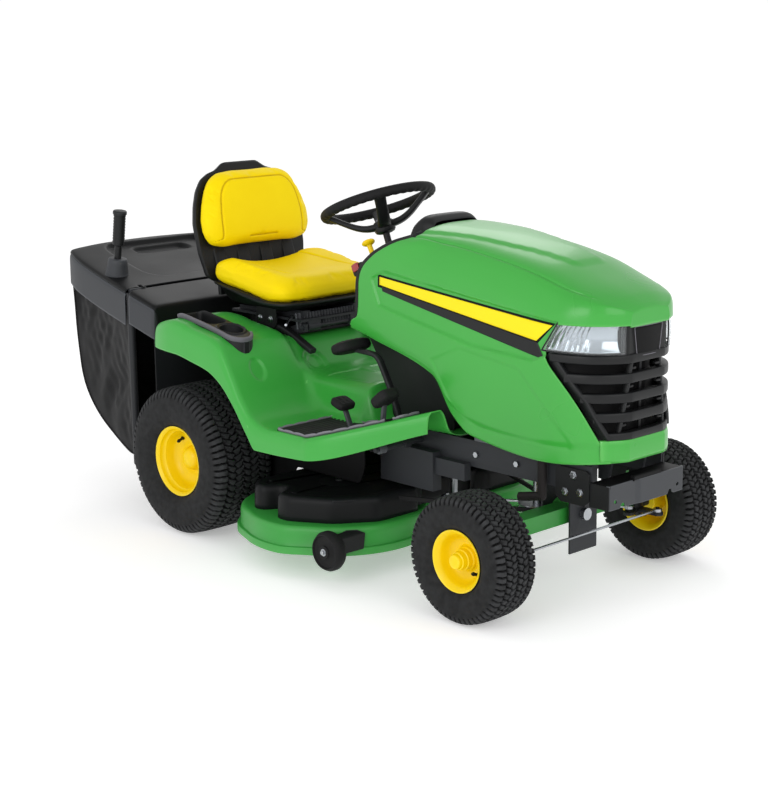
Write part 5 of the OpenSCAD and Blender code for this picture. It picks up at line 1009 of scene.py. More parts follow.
def make_deck():
    """Deck shell with its stepped rim, lift lugs and gauge brackets, and the belt cover with its rounded
    edge."""
    levels = [(1.2, 80), (0, 81), (0, 99), (1, 102), (4, 103.6), (8.5, 104), (10, 106), (10.3, 140),
        (11.5, 152), (15, 160), (21, 164), (28, 165), (60, 165)]
    p = np.array([np.column_stack([deck_outline(i), np.full(len(deck_outline(0)), z)]) for i, z in levels])
    n, m = p.shape[:2]
    faces = grid(n, m, ring_columns=True)
    mid = p.reshape(-1, 3)[faces].mean(1)
    mouth = (mid[:, 0] < MID - 225) & (np.abs(mid[:, 1]) < 120) & (mid[:, 2] > 92) & (mid[:, 2] < 161)
    faces = faces[~mouth].tolist() + [list(range((n - 1) * m, n * m))]
    piece("deck_pressing", (p.reshape(-1, 3), faces), "deck", "deck", "deck_shell", wall=3,
        core=(MID, 0, 0), crease=40)
    lugs = []
    for s in (-1, 1):
        y = s * 145
        lugs.append(upright([(55, 164), (160, 164), (160, 322), (150, 334), (65, 334), (55, 322), (55, 300),
            (68, 316), (146, 316), (146, 298), (68, 298), (55, 300)], y - 3, y + 3))
    piece("deck_lift_lugs", joined(*lugs), "coat", "deck", bevel=0.8)
    for side, s in SIDES.items():
        p, f = upright([(402, 100), (440, 100), (440, 150), (430, 158), (412, 158), (402, 150)], s, s * 491)
        wall = s * (SPINDLE + np.sqrt(284 ** 2 - (p[:, 0] - MID) ** 2))
        p[:, 1] = np.where(np.abs(p[:, 1]) < 2, wall, p[:, 1])
        piece("gauge_bracket_" + side, (p, f), "coat", "deck", bevel=3)
        pin = turned([(0, -26), (7, -26), (7, 24), (0, 24)], (GAUGE_X, s * GAUGE_Y, GAUGE_Z), (0, s, 0), 24)
        piece("gauge_axle_" + side, pin, "zinc", "deck", weld=True)
    half = [(195, 118), (240, 150), (240, 318), (155, 436), (30, 510), (-24, 504), (-50, 446), (-66, 424),
        (-88, 436), (-112, 482), (-150, 486), (-204, 440)]
    plan = np.array([(195, 0)] + half + [(-200, 0)] + [(a, -b) for a, b in half[::-1]], float) + [MID, 0]
    ring = softened(plan, 5, 16)
    cover = stacked(ring, [(0, 165.3), (0.5, 180), (2, 218), (3.5, 229), (7.5, 236.5), (14, 240.3), (20, 241),
        (44, 240.4), (50, 238.6), (56, 238)])
    piece("belt_cover", cover, "cover", "deck", "deck_cover", wall=3, core=(MID, 0, 0), crease=50)
    for side, s in SIDES.items():
        front = bent((394, s * 110, 0), (396, s * 200, 0), (392, s * 330, 0), (372, s * 384, 0),
            (336, s * 430, 0), count=60)
        apron = np.stack([front + [0.05 * (z - 104), 0, z] for z in np.linspace(236, 170, 16)])
        piece("cover_apron_" + side, (apron, grid(16, 60)), "cover", "deck", wall=3, core=(MID, s * 200, 150))
        boss = turned([(0, 246), (10, 246), (13, 244), (14, 240), (60, 240.5), (66, 238)],
            (MID, s * SPINDLE, 0), (0, 0, 1), 48)
        piece("spindle_cap_" + side, boss, "cover", "deck", core=(MID, s * SPINDLE, 100), weld=True)


# Collector

def hopper_row(x, w, low, high, crown, bow):
    """Half row of the collector's top from the middle to the side's lower edge, bowed back in the middle."""
    y = np.array([0, .55 * w, w - 14, w, w + 2])
    z = np.maximum(low, [high + crown, high + .8 * crown, high, high - 12, low])
    return np.column_stack([x + bow * (y / w) ** 2, -y, z])


def hopper_edge(x):
    """Height of the cover's side edge."""
    return 870 - 98 * (x + 1192) / 501


def hopper_half(x):
    """Half-width of the collector."""
    return 376 + 54 * (x + 1192) / 501


def make_hopper():
    """Collector: moulded cover with a sunk top panel, its fixed front part, the hanging bag, the panel behind
    the seat and the handle."""
    rows = [hopper_row(-1192, 350, 748, 748, 0, 60), hopper_row(-1192, 350, 748, 856, 2, 60)]
    for k, d in enumerate((24, 120, 250, 380, 501)):
        x = d - 1192.0
        z = hopper_edge(x)
        rows.append(hopper_row(x, hopper_half(x) - (14, 0, 0, 0, 0)[k], z - 122, z, (8, 12, 12, 9, 4)[k],
            (56, 36, 12, 0, 0)[k]))
    net = mirrored_lines(np.array(rows))
    u = spread([0, 1, 2, 3, 4, 5, 6], [16, 14, 16, 26, 26, 24])
    v = spread([0, 1, 2, 3, 4], [30, 26, 10, 16])
    full = np.concatenate([-v[::-1], v[1:]])
    skin = rounded(rounded(net, u, 0.42, axis=0), full + 4, eased(np.abs(full), (0, .4), (2, .3),
        (3, .3), (4, .1)))
    x, y = skin[..., 0], skin[..., 1]
    sunk = [(-1126, -205), (-1050, -246), (-810, -262), (-752, -226), (-752, 226), (-810, 262),
        (-1050, 246), (-1126, 205)]
    depth = 17 * rise(inside(x, y, softened(sunk, 8, 30)), -2, 14) * (np.abs(full) < 2)
    grip_plan = softened([(-1096, -120), (-1020, -120), (-1020, 120), (-1096, 120)], 6, 24)
    grip = 14 * rise(inside(x, y, grip_plan), -2, 12) * (np.abs(full) < 2)
    line = 2.5 * bell(np.abs(full), 2.9, 0.1)
    skin = pushed(skin, depth + grip + line, (-900, 0, 600))
    faces = grid(*skin.shape[:2])
    band = np.abs(full)[faces % len(full)].min(1) > 2.85
    mid = skin.reshape(-1, 3)[faces].mean(1)
    boot = np.hypot(mid[:, 0] + 839, mid[:, 1] + 354) < 24
    ears = (mid[:, 0] > -706) & (np.abs(np.abs(mid[:, 1]) - 360) < 5) & (mid[:, 2] > 715)
    piece("collector_cover", (skin, faces[~boot & ~ears & ~band]), "cover", "hopper", "hopper_cover",
        wall=3.4, core=(-900, 0, 600), crease=50)
    # Painted light: the upright side band takes the greyer, lit copy of the cover's black polyethylene
    piece("collector_band", (skin, faces[band]), "sidelit_black", "hopper", wall=3.4,
        core=(-900, 0, 600), crease=50)
    rows = []
    for x, w, drop, crown, bow in ((-669, 430, 0, 4, 0), (-576, 430, 0, 4, 0), (-530, 430, 0, 4, 0),
            (-516, 418, 12, 2, -14), (-516, 418, 112, 0, -14)):
        z = 772 - (x + 682) * 0.26
        rows.append(hopper_row(x, w, z - 112, z - drop, crown, bow))
    net = mirrored_lines(np.array(rows))
    front = rounded(rounded(net, spread([0, 1, 2, 3, 4], [16, 12, 12, 14]), 0.4, axis=0), full + 4,
        eased(np.abs(full), (0, .4), (2, .3), (3, .3), (4, .1)))
    front = pushed(front, 0 * front[..., 0] + line, (-600, 0, 640))
    faces = grid(*front.shape[:2])
    band = np.abs(full)[faces % len(full)].min(1) > 2.85
    piece("collector_front", (front, faces[~band]), "cover", "chassis", "hopper_support", wall=3.4,
        core=(-600, 0, 640), crease=50)
    # Painted light: the front part's side band takes the same greyer, lit copy
    piece("collector_front_band", (front, faces[band]), "sidelit_black", "chassis", wall=3.4,
        core=(-600, 0, 640), crease=50)
    loops = [np.array([(a, b * w, c) for b, c in corners], float) for a, w,
        corners in ((-627, 364, [(-1, 306), (1, 306), (1, 700), (-1, 700)]),
        (-621, 364, [(-1, 306), (1, 306), (1, 700), (-1, 700)]),
        (-621, 116, [(-1, 474), (1, 474), (1, 626), (-1, 626)]),
        (-627, 116, [(-1, 474), (1, 474), (1, 626), (-1, 626)]))]
    piece("collector_panel", (np.vstack(loops), grid(4, 4, True, True).tolist()), "black", "chassis",
        bevel=1.5, core=(-624, 0, 390))
    ears = []
    for s in (-1, 1):
        arc = np.radians(np.linspace(-30, 200, 16))
        eye = np.column_stack([-682 + 13 * np.cos(arc), 764 + 13 * np.sin(arc)])
        ears.append(upright(np.vstack([[(-627.3, 600), (-627.3, 690)], eye]), s * 360 - 4, s * 360 + 4))
    piece("collector_ears", joined(*ears), "coat", "chassis", bevel=0.8)
    make_bag()
    up = np.array([math.sin(math.radians(9)), 0, math.cos(math.radians(9))])
    foot = np.array([-839.0, -354, 799])
    boot = [(12.2, 58), (27, 58), (31, 56.5), (33, 53), (35, 36), (39, 10), (41, 3), (44, 1), (44, -4),
        (36, -5), (36, -16), (12.2, -16)]
    # Painted light: the boot takes the greyer, lit copy of the black polyethylene
    piece("handle_boot", turned(boot, foot, up, 64), "sidelit_black", "hopper", crease=50)
    ribs = [(20.4 + 0.8 * math.cos(k * math.pi), 108 + 5 * k) for k in range(1, 21)]
    grip = [(0, 226), (17, 226), (22, 225), (24, 222), (24, 214), (21, 212.5)] + ribs[::-1] + [(20, 108),
        (15, 104), (12, 102), (12, -280), (0, -280)]
    piece("emptying_handle", turned(grip, foot, up, 48), "black", "handle", "hopper_handle",
        weld=True, crease=50)


def make_bag():
    """Bag cloth: a strip that runs from under the cover down the back and along the floor, and two side
    panels ruled between that run and the top and front edges, all drawn in and creased by diagonal waves."""
    t = np.linspace(0, 1, 90)
    run = np.array([(-1116, 792), (-1100, 660), (-1096, 560), (-1046, 336), (-752, 202), (-695, 196)], float)
    low = rounded(run, t * 5, 0.5, axis=0)
    edge = np.array([(-1116, 792), (-1020, 772), (-800, 730), (-695, 708), (-695, 420), (-695, 196)], float)
    high = rounded(edge, t * 5, 0.15, axis=0)
    parts = []
    b = np.linspace(0, 1, 56)
    for s in (-1, 1):
        q = low[:, None] * (1 - b[None, :, None]) + high[:, None] * b[None, :, None]
        x, z = q[..., 0], q[..., 1]
        hem = np.minimum(1, 4 * b * (1 - b))[None] * np.minimum(1, 5 * t * (1 - t))[:, None]
        sag = 16 * hem * rise(z, 190, 420)
        p2 = np.stack([x, z], -1)
        fold = 7 * hem * np.sin((x * 0.62 - z * 0.5) / 26 + 1.5 * waves(p2, 260, 3)) * (0.4
            + 0.6 * rise(-z, -640, -380))
        fold += 5 * hem * waves(p2 * [1, 0.35], 120, 5) + 2.5 * hem * waves(p2, 55, 9)
        y = hopper_half(x) - along(x, (-1116, 30), (-1046, 24),
            (-752, 17), (-695, 16)) - sag + np.minimum(fold, 9)
        y = np.minimum(y, hopper_half(x) - 8)
        parts.append(np.stack([x, s * y, z], -1))
    c = np.linspace(-1, 1, 70)[None]
    y0 = -parts[0][:, 0, 1][:, None]
    belly = np.stack([low[:, :1] + 0 * c, c * y0, low[:, 1:] + 0 * c], -1)
    p2 = np.stack([belly[..., 0] * 0 + t[:, None] * 900, belly[..., 1]], -1)
    hem = (1 - np.abs(c) ** 6) * np.minimum(1, 6 * t * (1 - t))[:, None]
    swell = hem * (10 + 6 * waves(p2, 200, 11) + 3 * waves(p2, 70, 12))
    belly = pushed(belly, -swell * along(t, (0, .4), (.3, 1), (.7, 1), (1, .2))[:, None], (-850, 0, 560))
    belly[..., 2] = np.maximum(belly[..., 2], 184)
    shape = joined(*[(q, grid(*q.shape[:2])) for q in (belly, *parts)])
    bag = piece("bag_cloth", shape, "cloth", "hopper", "hopper_bag", core=(-850, 0, 560),
        weld=True, crease=70)
    for side, q in zip(("right", "left"), parts):
        s = SIDES[side]
        tube = bent((-692, s * 404, 648), (-692, s * 404, 420), (-692, s * 404, 236),
            (-704, s * 392, 206), count=40)
        piece("bag_tube_" + side, swept(tube, oval(11, 11, count=20), over=(0, 1, 0)), "bumper", "hopper")
        piece("bag_seam_" + side, swept(q[2:-2, 0], oval(3.2, 3.2, count=10), over=(0.3, 1, 0.2)),
            "rubber", "hopper")


# Seat

def on_back(p):
    """Points given in the backrest's own frame: X ahead, Y left, Z up its lean of 12 degrees."""
    return placed((p, None), (-486, 0, 752), about_y=-12)[0]


def stuffed(name, shape, body, node, cap, rest, channels):
    """Padded cover: the form is remeshed in 5 mm cells, blown up by cloth pressure for 20 steps with every
    point's travel capped, smoothed once, kept above its rest face, and then sewn in along the channels."""
    obj = piece(name, shape, "vinyl", body, node, weld=True)
    mesher = obj.modifiers.new("cells", "REMESH")
    mesher.mode = "VOXEL"
    mesher.voxel_size = 0.0055
    apply_modifiers(obj)
    start = read_points(obj.data)
    cloth = obj.modifiers.new("cloth", "CLOTH")
    cloth.settings.use_pressure = True
    cloth.settings.uniform_pressure_force = 4.0
    cloth.settings.effector_weights.gravity = 0
    cloth.settings.quality = 4
    cloth.collision_settings.use_collision = False
    for step in range(1, 21):
        scene.frame_set(step)
    apply_modifiers(obj)
    scene.frame_set(1)
    move = read_points(obj.data) - start
    far = np.linalg.norm(move, axis=1)[:, None]
    write_points(obj.data, start + move * np.minimum(1, cap / np.maximum(far, 1e-6)))
    sub = obj.modifiers.new("smooth", "SUBSURF")
    sub.levels = sub.render_levels = 1
    apply_modifiers(obj)
    p, sewn = channels(rest(read_points(obj.data)))
    write_points(obj.data, p)
    obj.data.attributes.new("seam", "FLOAT", "POINT").data.foreach_set("value", sewn.astype(np.float32))
    obj.data.polygons.foreach_set("use_smooth", np.ones(len(obj.data.polygons), bool))
    return obj


def apply_modifiers(obj):
    """Replaces an object's mesh by its evaluated copy and drops the modifiers."""
    made = bpy.data.meshes.new_from_object(obj.evaluated_get(bpy.context.evaluated_depsgraph_get()))
    obj.modifiers.clear()
    obj.data = made


def read_points(mesh):
    """A mesh's points in mm."""
    p = np.zeros(3 * len(mesh.vertices))
    mesh.vertices.foreach_get("co", p)
    return p.reshape(-1, 3) / MM


def write_points(mesh, p):
    """Sets a mesh's points from mm."""
    mesh.vertices.foreach_set("co", (p * MM).ravel())
    mesh.update()


def pad(ring, height, lift, rows=60):
    """Closed pad over a plan outline: rings shrink from the welt to the middle, the edge turns over in a
    round, and lift adds the form of the top."""
    centre = (ring.min(0) + ring.max(0)) / 2
    f = np.concatenate([np.linspace(0.02, 1, rows), np.linspace(1, 0.02, rows)])[:, None]
    p = centre + f[..., None] * (ring - centre)
    x, y = np.moveaxis((p - centre) / (np.ptp(ring, axis=0) / 2), -1, 0)
    upper = (np.arange(2 * rows) >= rows)[:, None]
    edge = (1 - f ** 7) ** 0.45
    z = np.where(upper, height * (0.34 + 0.5 * edge) + lift(x, y) * edge, height * 0.34 * (1 - edge ** 0.6))
    p = np.concatenate([p, z[..., None]], -1)
    n, m = p.shape[:2]
    return p.reshape(-1, 3), grid(n, m, ring_columns=True).tolist() + [list(range(m)),
        list(range((n - 1) * m, n * m))]


SEAT_PLAN = softened([(-224, -206), (-224, 206), (-166, 234), (132, 240), (170, 226), (192, 140), (192, -140),
    (170, -226), (132, -240), (-166, -234)], 5, 26) - [276, 0]
BACK_PLAN = softened([(146, -160), (160, -210), (196, -230), (244, -232), (300, -218), (350, -198),
    (386, -172), (405, -138), (412, -80), (412, 80), (405, 138), (386, 172), (350, 198), (300, 218),
    (244, 232), (196, 230), (160, 210), (146, 160)], 5, 11)
SHELL_PLAN = softened([(20, -150), (60, -214), (140, -230), (240, -234), (300, -221), (350, -202),
    (386, -176), (405, -142), (413, -110), (438, -72), (438, 72), (413, 110), (405, 142), (386, 176),
    (350, 202), (300, 221), (240, 234), (140, 230), (60, 214), (20, 150)], 6, 10)


def cushion_form(x, y):
    """Cushion top: high sides over the rear half that fade ahead, a dished middle and a front that rolls
    down."""
    return 26 * np.abs(y) ** 3 * (1 - rise(x, 0.0, 0.9)) - 8 * (1 - y ** 2) * (1
        - rise(x, 0.2, 0.9)) - 10 * rise(x, 0.5, 1.0)


def pan_sweep(x, y):
    """How far the pan's rim sweeps up towards the rear, most at its sides."""
    return 40 * (1 - rise(x, -496, -170)) * (0.35 + 0.65 * np.clip(np.abs(y) / 215, 0, 1) ** 2)


def back_form(x, y):
    """Backrest face: a slight crown, with the sides drawn forward."""
    return 8 * (1 - x ** 2) * (1 - y ** 2) + 9 * np.abs(y) ** 3


def cushion_rest(p):
    """Keeps the cushion's points above the pan."""
    return np.column_stack([p[:, :2], np.maximum(p[:, 2], 758.3 + pan_sweep(p[:, 0], p[:, 1]))])


def cushion_sewn(p):
    """Presses a seam along the foot of each side bolster."""
    x, y, top = p[:, 0] + 276, np.abs(p[:, 1]), rise(p[:, 2] - pan_sweep(p[:, 0], p[:, 1]), 795, 812)
    line = (y - 132 - 10 * rise(x, -160, 120))
    along_it = top * (1 - rise(x, 70, 130))
    sunk = np.column_stack([0 * y, 0 * y, 4.5 * bell(line, 0, 4) * along_it])
    return p - sunk, 0.7 * bell(line, 0, 2.0) * along_it


def back_frame(p):
    """Points turned back into the backrest's own frame."""
    return placed((p - np.array([-486, 0, 752.0]), None), (0, 0, 0), about_y=12)[0]


def back_rest(p):
    """Keeps the back pad's points ahead of the shell."""
    q = back_frame(p)
    q[:, 0] = np.maximum(q[:, 0], -9.7)
    return on_back(q)


def back_sewn(p):
    """Presses a round-cornered seam into the back pad and a short one under it."""
    q = back_frame(p)
    face = rise(q[:, 0], 14, 26)
    ring = inside(q[:, 1], q[:, 2], softened([(-172, 130), (-174, 250), (-160, 330), (-126, 372), (126, 372),
        (160, 330), (174, 250), (172, 130)], 5, 24))
    ring = ring + 1e3 * (1 - rise(q[:, 2], 150, 200)) ** 8
    short = (q[:, 2] - 176) + 1e3 * rise(np.abs(q[:, 1]), 60, 90)
    line = np.maximum(bell(ring, 0, 3.4), bell(short, 0, 3.4)) * face
    q[:, 0] -= 5 * line
    return on_back(q), np.maximum(bell(ring, 0, 2.0), bell(short, 0, 2.0)) * face


def make_seat():
    """Seat pan with its thin lip, back shell with its straps, both pads, the pleated boot under the pan, side
    brackets and the slide rails."""
    pan = stacked(drawn_in(SEAT_PLAN, 2), [(70, 722), (44, 732), (22, 745), (5, 748), (1, 750), (0, 752),
        (0, 757), (3, 758)], foot=True)
    pan[0][:, 2] += pan_sweep(pan[0][:, 0], pan[0][:, 1]) * rise(pan[0][:, 2], 722, 750)
    piece("seat_pan", pan, "black", "seat", "seat_shell", crease=50)
    levels = [(5, -10), (0, -14), (0, -22), (4, -30), (12, -35), (40, -36)]
    rings = np.array([np.column_stack([np.full(len(SHELL_PLAN), x), drawn_in(SHELL_PLAN, i)[:, ::-1]])
        for i, x in levels])
    n, m = rings.shape[:2]
    shell = (on_back(rings.reshape(-1, 3)), grid(n, m, ring_columns=True).tolist() + [list(range(m)),
        list(range((n - 1) * m, n * m))])
    piece("seat_back_shell", shell, "black", "seat", crease=50)
    straps = []
    for y in (-150, -50, 50, 150):
        z = np.linspace(-6, 150, 26)
        path = np.column_stack([-16 + 8 * np.sin(np.pi * (z + 6) / 156), np.full(26, y), z])
        p, f = swept(path, oval(25, 8, 5.0, 20), over=(1, 0, 0))
        straps.append((on_back(p), f))
    piece("seat_straps", joined(*straps), "black", "seat", crease=50)
    p, f = pad(SEAT_PLAN, 94, cushion_form)
    p[:, 2] += 758.3 + pan_sweep(p[:, 0], p[:, 1])
    stuffed("seat_pad", (p, f), "seat", "seat_cushion", 9, cushion_rest, cushion_sewn)
    p, f = pad(BACK_PLAN, 78, back_form)
    p = np.column_stack([p[:, 2] - 9.7, p[:, 1], p[:, 0]])
    stuffed("seat_back_pad", (on_back(p), f), "seat", "seat_backrest", 8, back_rest, back_sewn)
    y, z = np.linspace(-1, 1, 160)[None], np.linspace(0, 1, 14)[:, None]
    pleat = 4 * np.sin(y * np.pi * 24)
    boot = np.stack([-116 - 18 * y ** 4 + pleat - 8 * z, 148 * y + 0 * z, 664 + 53 * z + 0 * y], -1)
    # Painted light: the boot takes the greyer, lit copy of the black polyethylene
    piece("seat_boot", (boot, grid(14, 160)), "sidelit_black", "seat_base", wall=2.5, core=(-300, 0, 700))
    plates, rails, bolts = [], [], []
    for s in (-1, 1):
        plates.append(upright([(-300, 724), (-312, 676), (-290, 656), (-226, 656), (-206, 676), (-206, 724)],
            s * 172 - 3, s * 172 + 3))
        rail = bent((-262, s * 158, 672), (-196, s * 156, 664), (-150, s * 150, 644),
            (-62, s * 142, 600), count=40)
        rails.append(swept(rail, oval(14, 9, 5.0, 16)))
        for x, z in ((-286, 690), (-232, 690)):
            bolts.append(turned([(0, 6), (6.5, 6), (8, 5), (8, 1), (12, 0.6), (12, 0)],
                (x, s * 175.2, z), (0, s, 0), 6))
    piece("seat_side_plates", joined(*plates), "coat", "seat_base", bevel=2)
    piece("seat_side_bolts", joined(*bolts), "zinc", "seat_base", core=(-260, 0, 690))
    piece("seat_slide_rails", joined(*rails), "coat", "chassis", crease=50)
    lever = bent((-150, -150, 706), (-120, -196, 700), (-96, -222, 694), (-84, -236, 696))
    piece("seat_lever", swept(lever, oval(4, 4, count=12)), "zinc", "seat_base")


# Steering, dash and pedals

def leaning(degrees):
    """Upward direction that leans back by some degrees: minus their sine along X and their cosine along Z."""
    return np.array([-math.sin(math.radians(degrees)), 0, math.cos(math.radians(degrees))])


def on_column(p):
    """Points given along the steering column: Z up its lean, the origin at the wheel's middle."""
    return placed((p, None), WHEEL_AT, about_y=-COLUMN_LEAN)[0]


def make_steering():
    """Steering wheel: rim with finger bumps on its underside, four broad spokes that drop to a low hub, hub
    cap and upper shaft."""
    a = np.linspace(0, 2 * np.pi, 240, endpoint=False)
    path = np.column_stack([172 * np.cos(a), 172 * np.sin(a), 0 * a])
    section = oval(16, 16, 2.2, 24)
    under = rise(-section[:, 1], 2, 12)
    bumps = 1 - 0.1 * under[None] * (0.5 + 0.5 * np.cos(a * 40))[:, None]
    p, f = swept(path, section[None] * bumps[..., None], over=(0, 0, 1), ring=True)
    piece("steering_rim", (on_column(p), f), "rubber", "steering", "steering_wheel", crease=60)
    parts = []
    for turn in (40, 140, 220, 320):
        t = math.radians(turn)
        go = np.array([math.cos(t), math.sin(t), 0])
        line = bent((20, 0, -74), (70, 0, -70), (128, 0, -30), (160, 0, -4), (171, 0, 0), count=30, reach=0.5)
        path = line[:, :1] * go + line[:, 2:] * np.array([0, 0, 1])
        wide = along(np.linspace(0, 1, 30), (0, 1.25), (.5, 1), (1, 1.15))[:, None, None]
        q, f = swept(path, oval(18, 9, 3.0, 20) * wide, over=(0, 0, 1))
        parts.append((on_column(q), f))
    piece("steering_spokes", joined(*parts), "black", "steering", crease=50)
    axis = leaning(COLUMN_LEAN)
    hub = [(0, -56), (24, -56), (31, -60), (34, -68), (34, -88), (30, -95), (22, -98), (11, -99),
        (11, -640), (0, -640)]
    piece("steering_hub", turned(hub, WHEEL_AT, axis, 48), "black", "steering", weld=True)
    cap = [(0, -50), (16, -50.5), (22, -52), (25, -55.5), (25, -58), (0, -58)]
    piece("steering_cap", turned(cap, WHEEL_AT, axis, 48), "grey", "steering", weld=True)


def on_dash(p):
    """Points given on the dash: X up its slope, Y left, Z out of its face."""
    return placed((p, None), DASH_AT, about_y=-DASH_SLOPE)[0]


def make_dash():
    """Pedestal, dash panel with its rounded instrument pod and two dials, column collar, red reflectors, knob
    and fuel cap."""
    lip = on_dash(np.array([[258.0, 0, -0.4], [2, 0, -0.4]]))
    tower = [(142, 850), (184, 700), (299, 520), (299, 434.5), (549, 434.5), (549, 880),
        (lip[0, 0], lip[0, 2]), (lip[1, 0], lip[1, 2])]
    piece("dash_pedestal", upright(tower, -125, 125), "black", "chassis", bevel=9, core=(380, 0, 650))
    plan = softened([(-2, -194), (112, -196), (262, -158), (262, 158), (112, 196), (-2, 194)], 5, 14)
    p, f = stacked(plan, [(3, 0), (0, 3), (0, 8), (2, 11), (6, 12)], foot=True)
    piece("dash_panel", (on_dash(p), f), "black", "chassis", "dash_console", crease=50)
    s = np.linspace(0, 1, 40)[:, None]
    a = np.linspace(0, np.pi, 60)[None]
    high = eased(s, (0, 6), (.16, 26), (.45, 60), (.7, 66), (.9, 54), (1, 30))
    wide = eased(s, (0, 110), (.3, 116), (.7, 112), (1, 94))
    c = np.cos(a)
    p = np.stack([132 + 126 * s + 0 * a, wide * np.sign(c) * np.abs(c) ** 0.45,
        12.3 + high * np.sin(a) ** 0.45], -1)
    pod = on_dash(p.reshape(-1, 3)).reshape(p.shape)
    piece("instrument_pod", (pod, grid(40, 60)), "black", "chassis",
        core=tuple(on_dash(np.array([[200, 0, 0.0]]))[0]), wall=3, crease=60)
    axis = leaning(DASH_SLOPE)
    dials = [turned([(0, 15), (27, 15), (30, 18), (33, 18), (34, 12)],
        on_dash(np.array([[196.0, y, 0]]))[0], axis, 48) for y in (-44, 44)]
    piece("dash_dials", joined(*dials), "grey", "chassis", weld=True)
    lean = leaning(COLUMN_LEAN)
    collar = [(14, -160), (30, -161), (34, -166), (36, -176), (44, -232), (46, -240), (14, -240)]
    piece("column_collar", turned(collar, WHEEL_AT, lean, 48), "black", "chassis", crease=50)
    for side, k in SIDES.items():
        mount = placed(block((52, 26, 34), 6.0), (222, k * 190, 900), about_y=-28)
        piece("reflector_mount_" + side, mount, "black", "chassis", weld=True)
        lens = placed(block((30, 10, 24), 6.0), (216, k * 203, 906), about_y=-28)
        piece("reflector_" + side, lens, "red", "chassis", weld=True)
    knob = [(0, 88), (10, 87.6), (16, 86), (20, 82.5), (21, 78.5), (19, 74.5), (13, 71), (9, 69.5), (8, 66),
        (8, -12), (0, -12)]
    at = on_dash(np.array([[34.0, -160, 0]]))[0]
    piece("blade_switch_knob", turned(knob, at, axis, 48), "knob", "pto", "pto_knob", weld=True)
    piece("knob_collar", turned([(8.3, 20), (13, 20), (15, 18), (17, 12)], at, axis, 40), "black", "chassis")
    turns = np.linspace(0, 2 * np.pi, 96, endpoint=False)[:, None]
    shape = np.array([(0, 742), (20, 742), (27, 740.6), (30, 737), (30.5, 732), (30.5, 724), (29.5, 721),
        (17.9, 720.7), (17.9, 702), (0, 702)], float)
    flute = np.where((shape[:, 0] > 29.8)[None], 1 + 0.07 * (0.5 + 0.5 * np.cos(12 * turns)), 1.0)
    cap = np.stack([-320 + shape[None, :, 0] * flute * np.cos(turns),
        268 + shape[None, :, 0] * flute * np.sin(turns), shape[None, :, 1] + 0 * turns], -1)
    piece("filler_cap", (cap, grid(96, len(shape), True)), "black", "cap", "fuel_cap", weld=True)


def pedal(name, body, node, x, y, pad_at, size, lean, power, via=()):
    """Pedal: a ring on its shaft, a flat bent arm and a thick soft-edged pad with shallow cross grooves on
    its face."""
    ring = [(8.1, -13), (13.5, -13), (14.5, -12), (14.5, 12), (13.5, 13), (8.1, 13)]
    middle = via or ((x + 0.25 * (pad_at[0] - x), 404 + 0.35 * (pad_at[1] - 404)),)
    arm = bent((x, y, 404), *[(a, y, c) for a, c in middle], (pad_at[0] - 0.1 * (pad_at[0] - x),
        y, pad_at[1] - 8), count=40)
    steel = joined(turned(ring + ring[:1], (x, y, 398), (0, 1, 0), 40), swept(arm, oval(7, 11, 4.0, 16)
        if via else oval(5, 9, 4.0, 16), over=(0, 1, 0)))
    piece(name + "_arm", steel, "coat" if via else "bumper", body, core=(x, y, 430))
    p, f = block(size, power, 40, 90)
    face = rise(p[:, 2], 0.2 * size[2], 0.4 * size[2]) * rise(size[0] / 2
        - np.abs(p[:, 0]), 8, 16) * rise(size[1] / 2 - np.abs(p[:, 1]), 8, 16)
    p[:, 2] -= face * 2.0 * (0.5 + 0.5 * np.tanh(3 * np.sin(p[:, 1] / 9 * np.pi)))
    piece(name + "_pad", placed((p, f), (pad_at[0], y, pad_at[1]), about_y=lean), "rubber", body, node,
        weld=True, crease=60)


def make_pedals():
    """Drive, lift and brake pedals."""
    pedal("forward", "forward_foot", "forward_pedal", 454, -330, (473, 556), (74, 72, 36), -38, 4.0)
    pedal("reverse", "reverse_foot", "reverse_pedal", 334, -330, (287, 512), (58, 66, 26), 20, 4.0)
    pedal("deck_lift", "lift_foot", "lift_pedal", 454, -228, (216, 664), (78, 132, 42), -20, 3.2,
        ((420, 490), (388, 563), (336, 652)))
    pedal("brake", "brake_foot", "brake_pedal", 454, 300, (480, 560), (80, 96, 26), -38, 4.0)


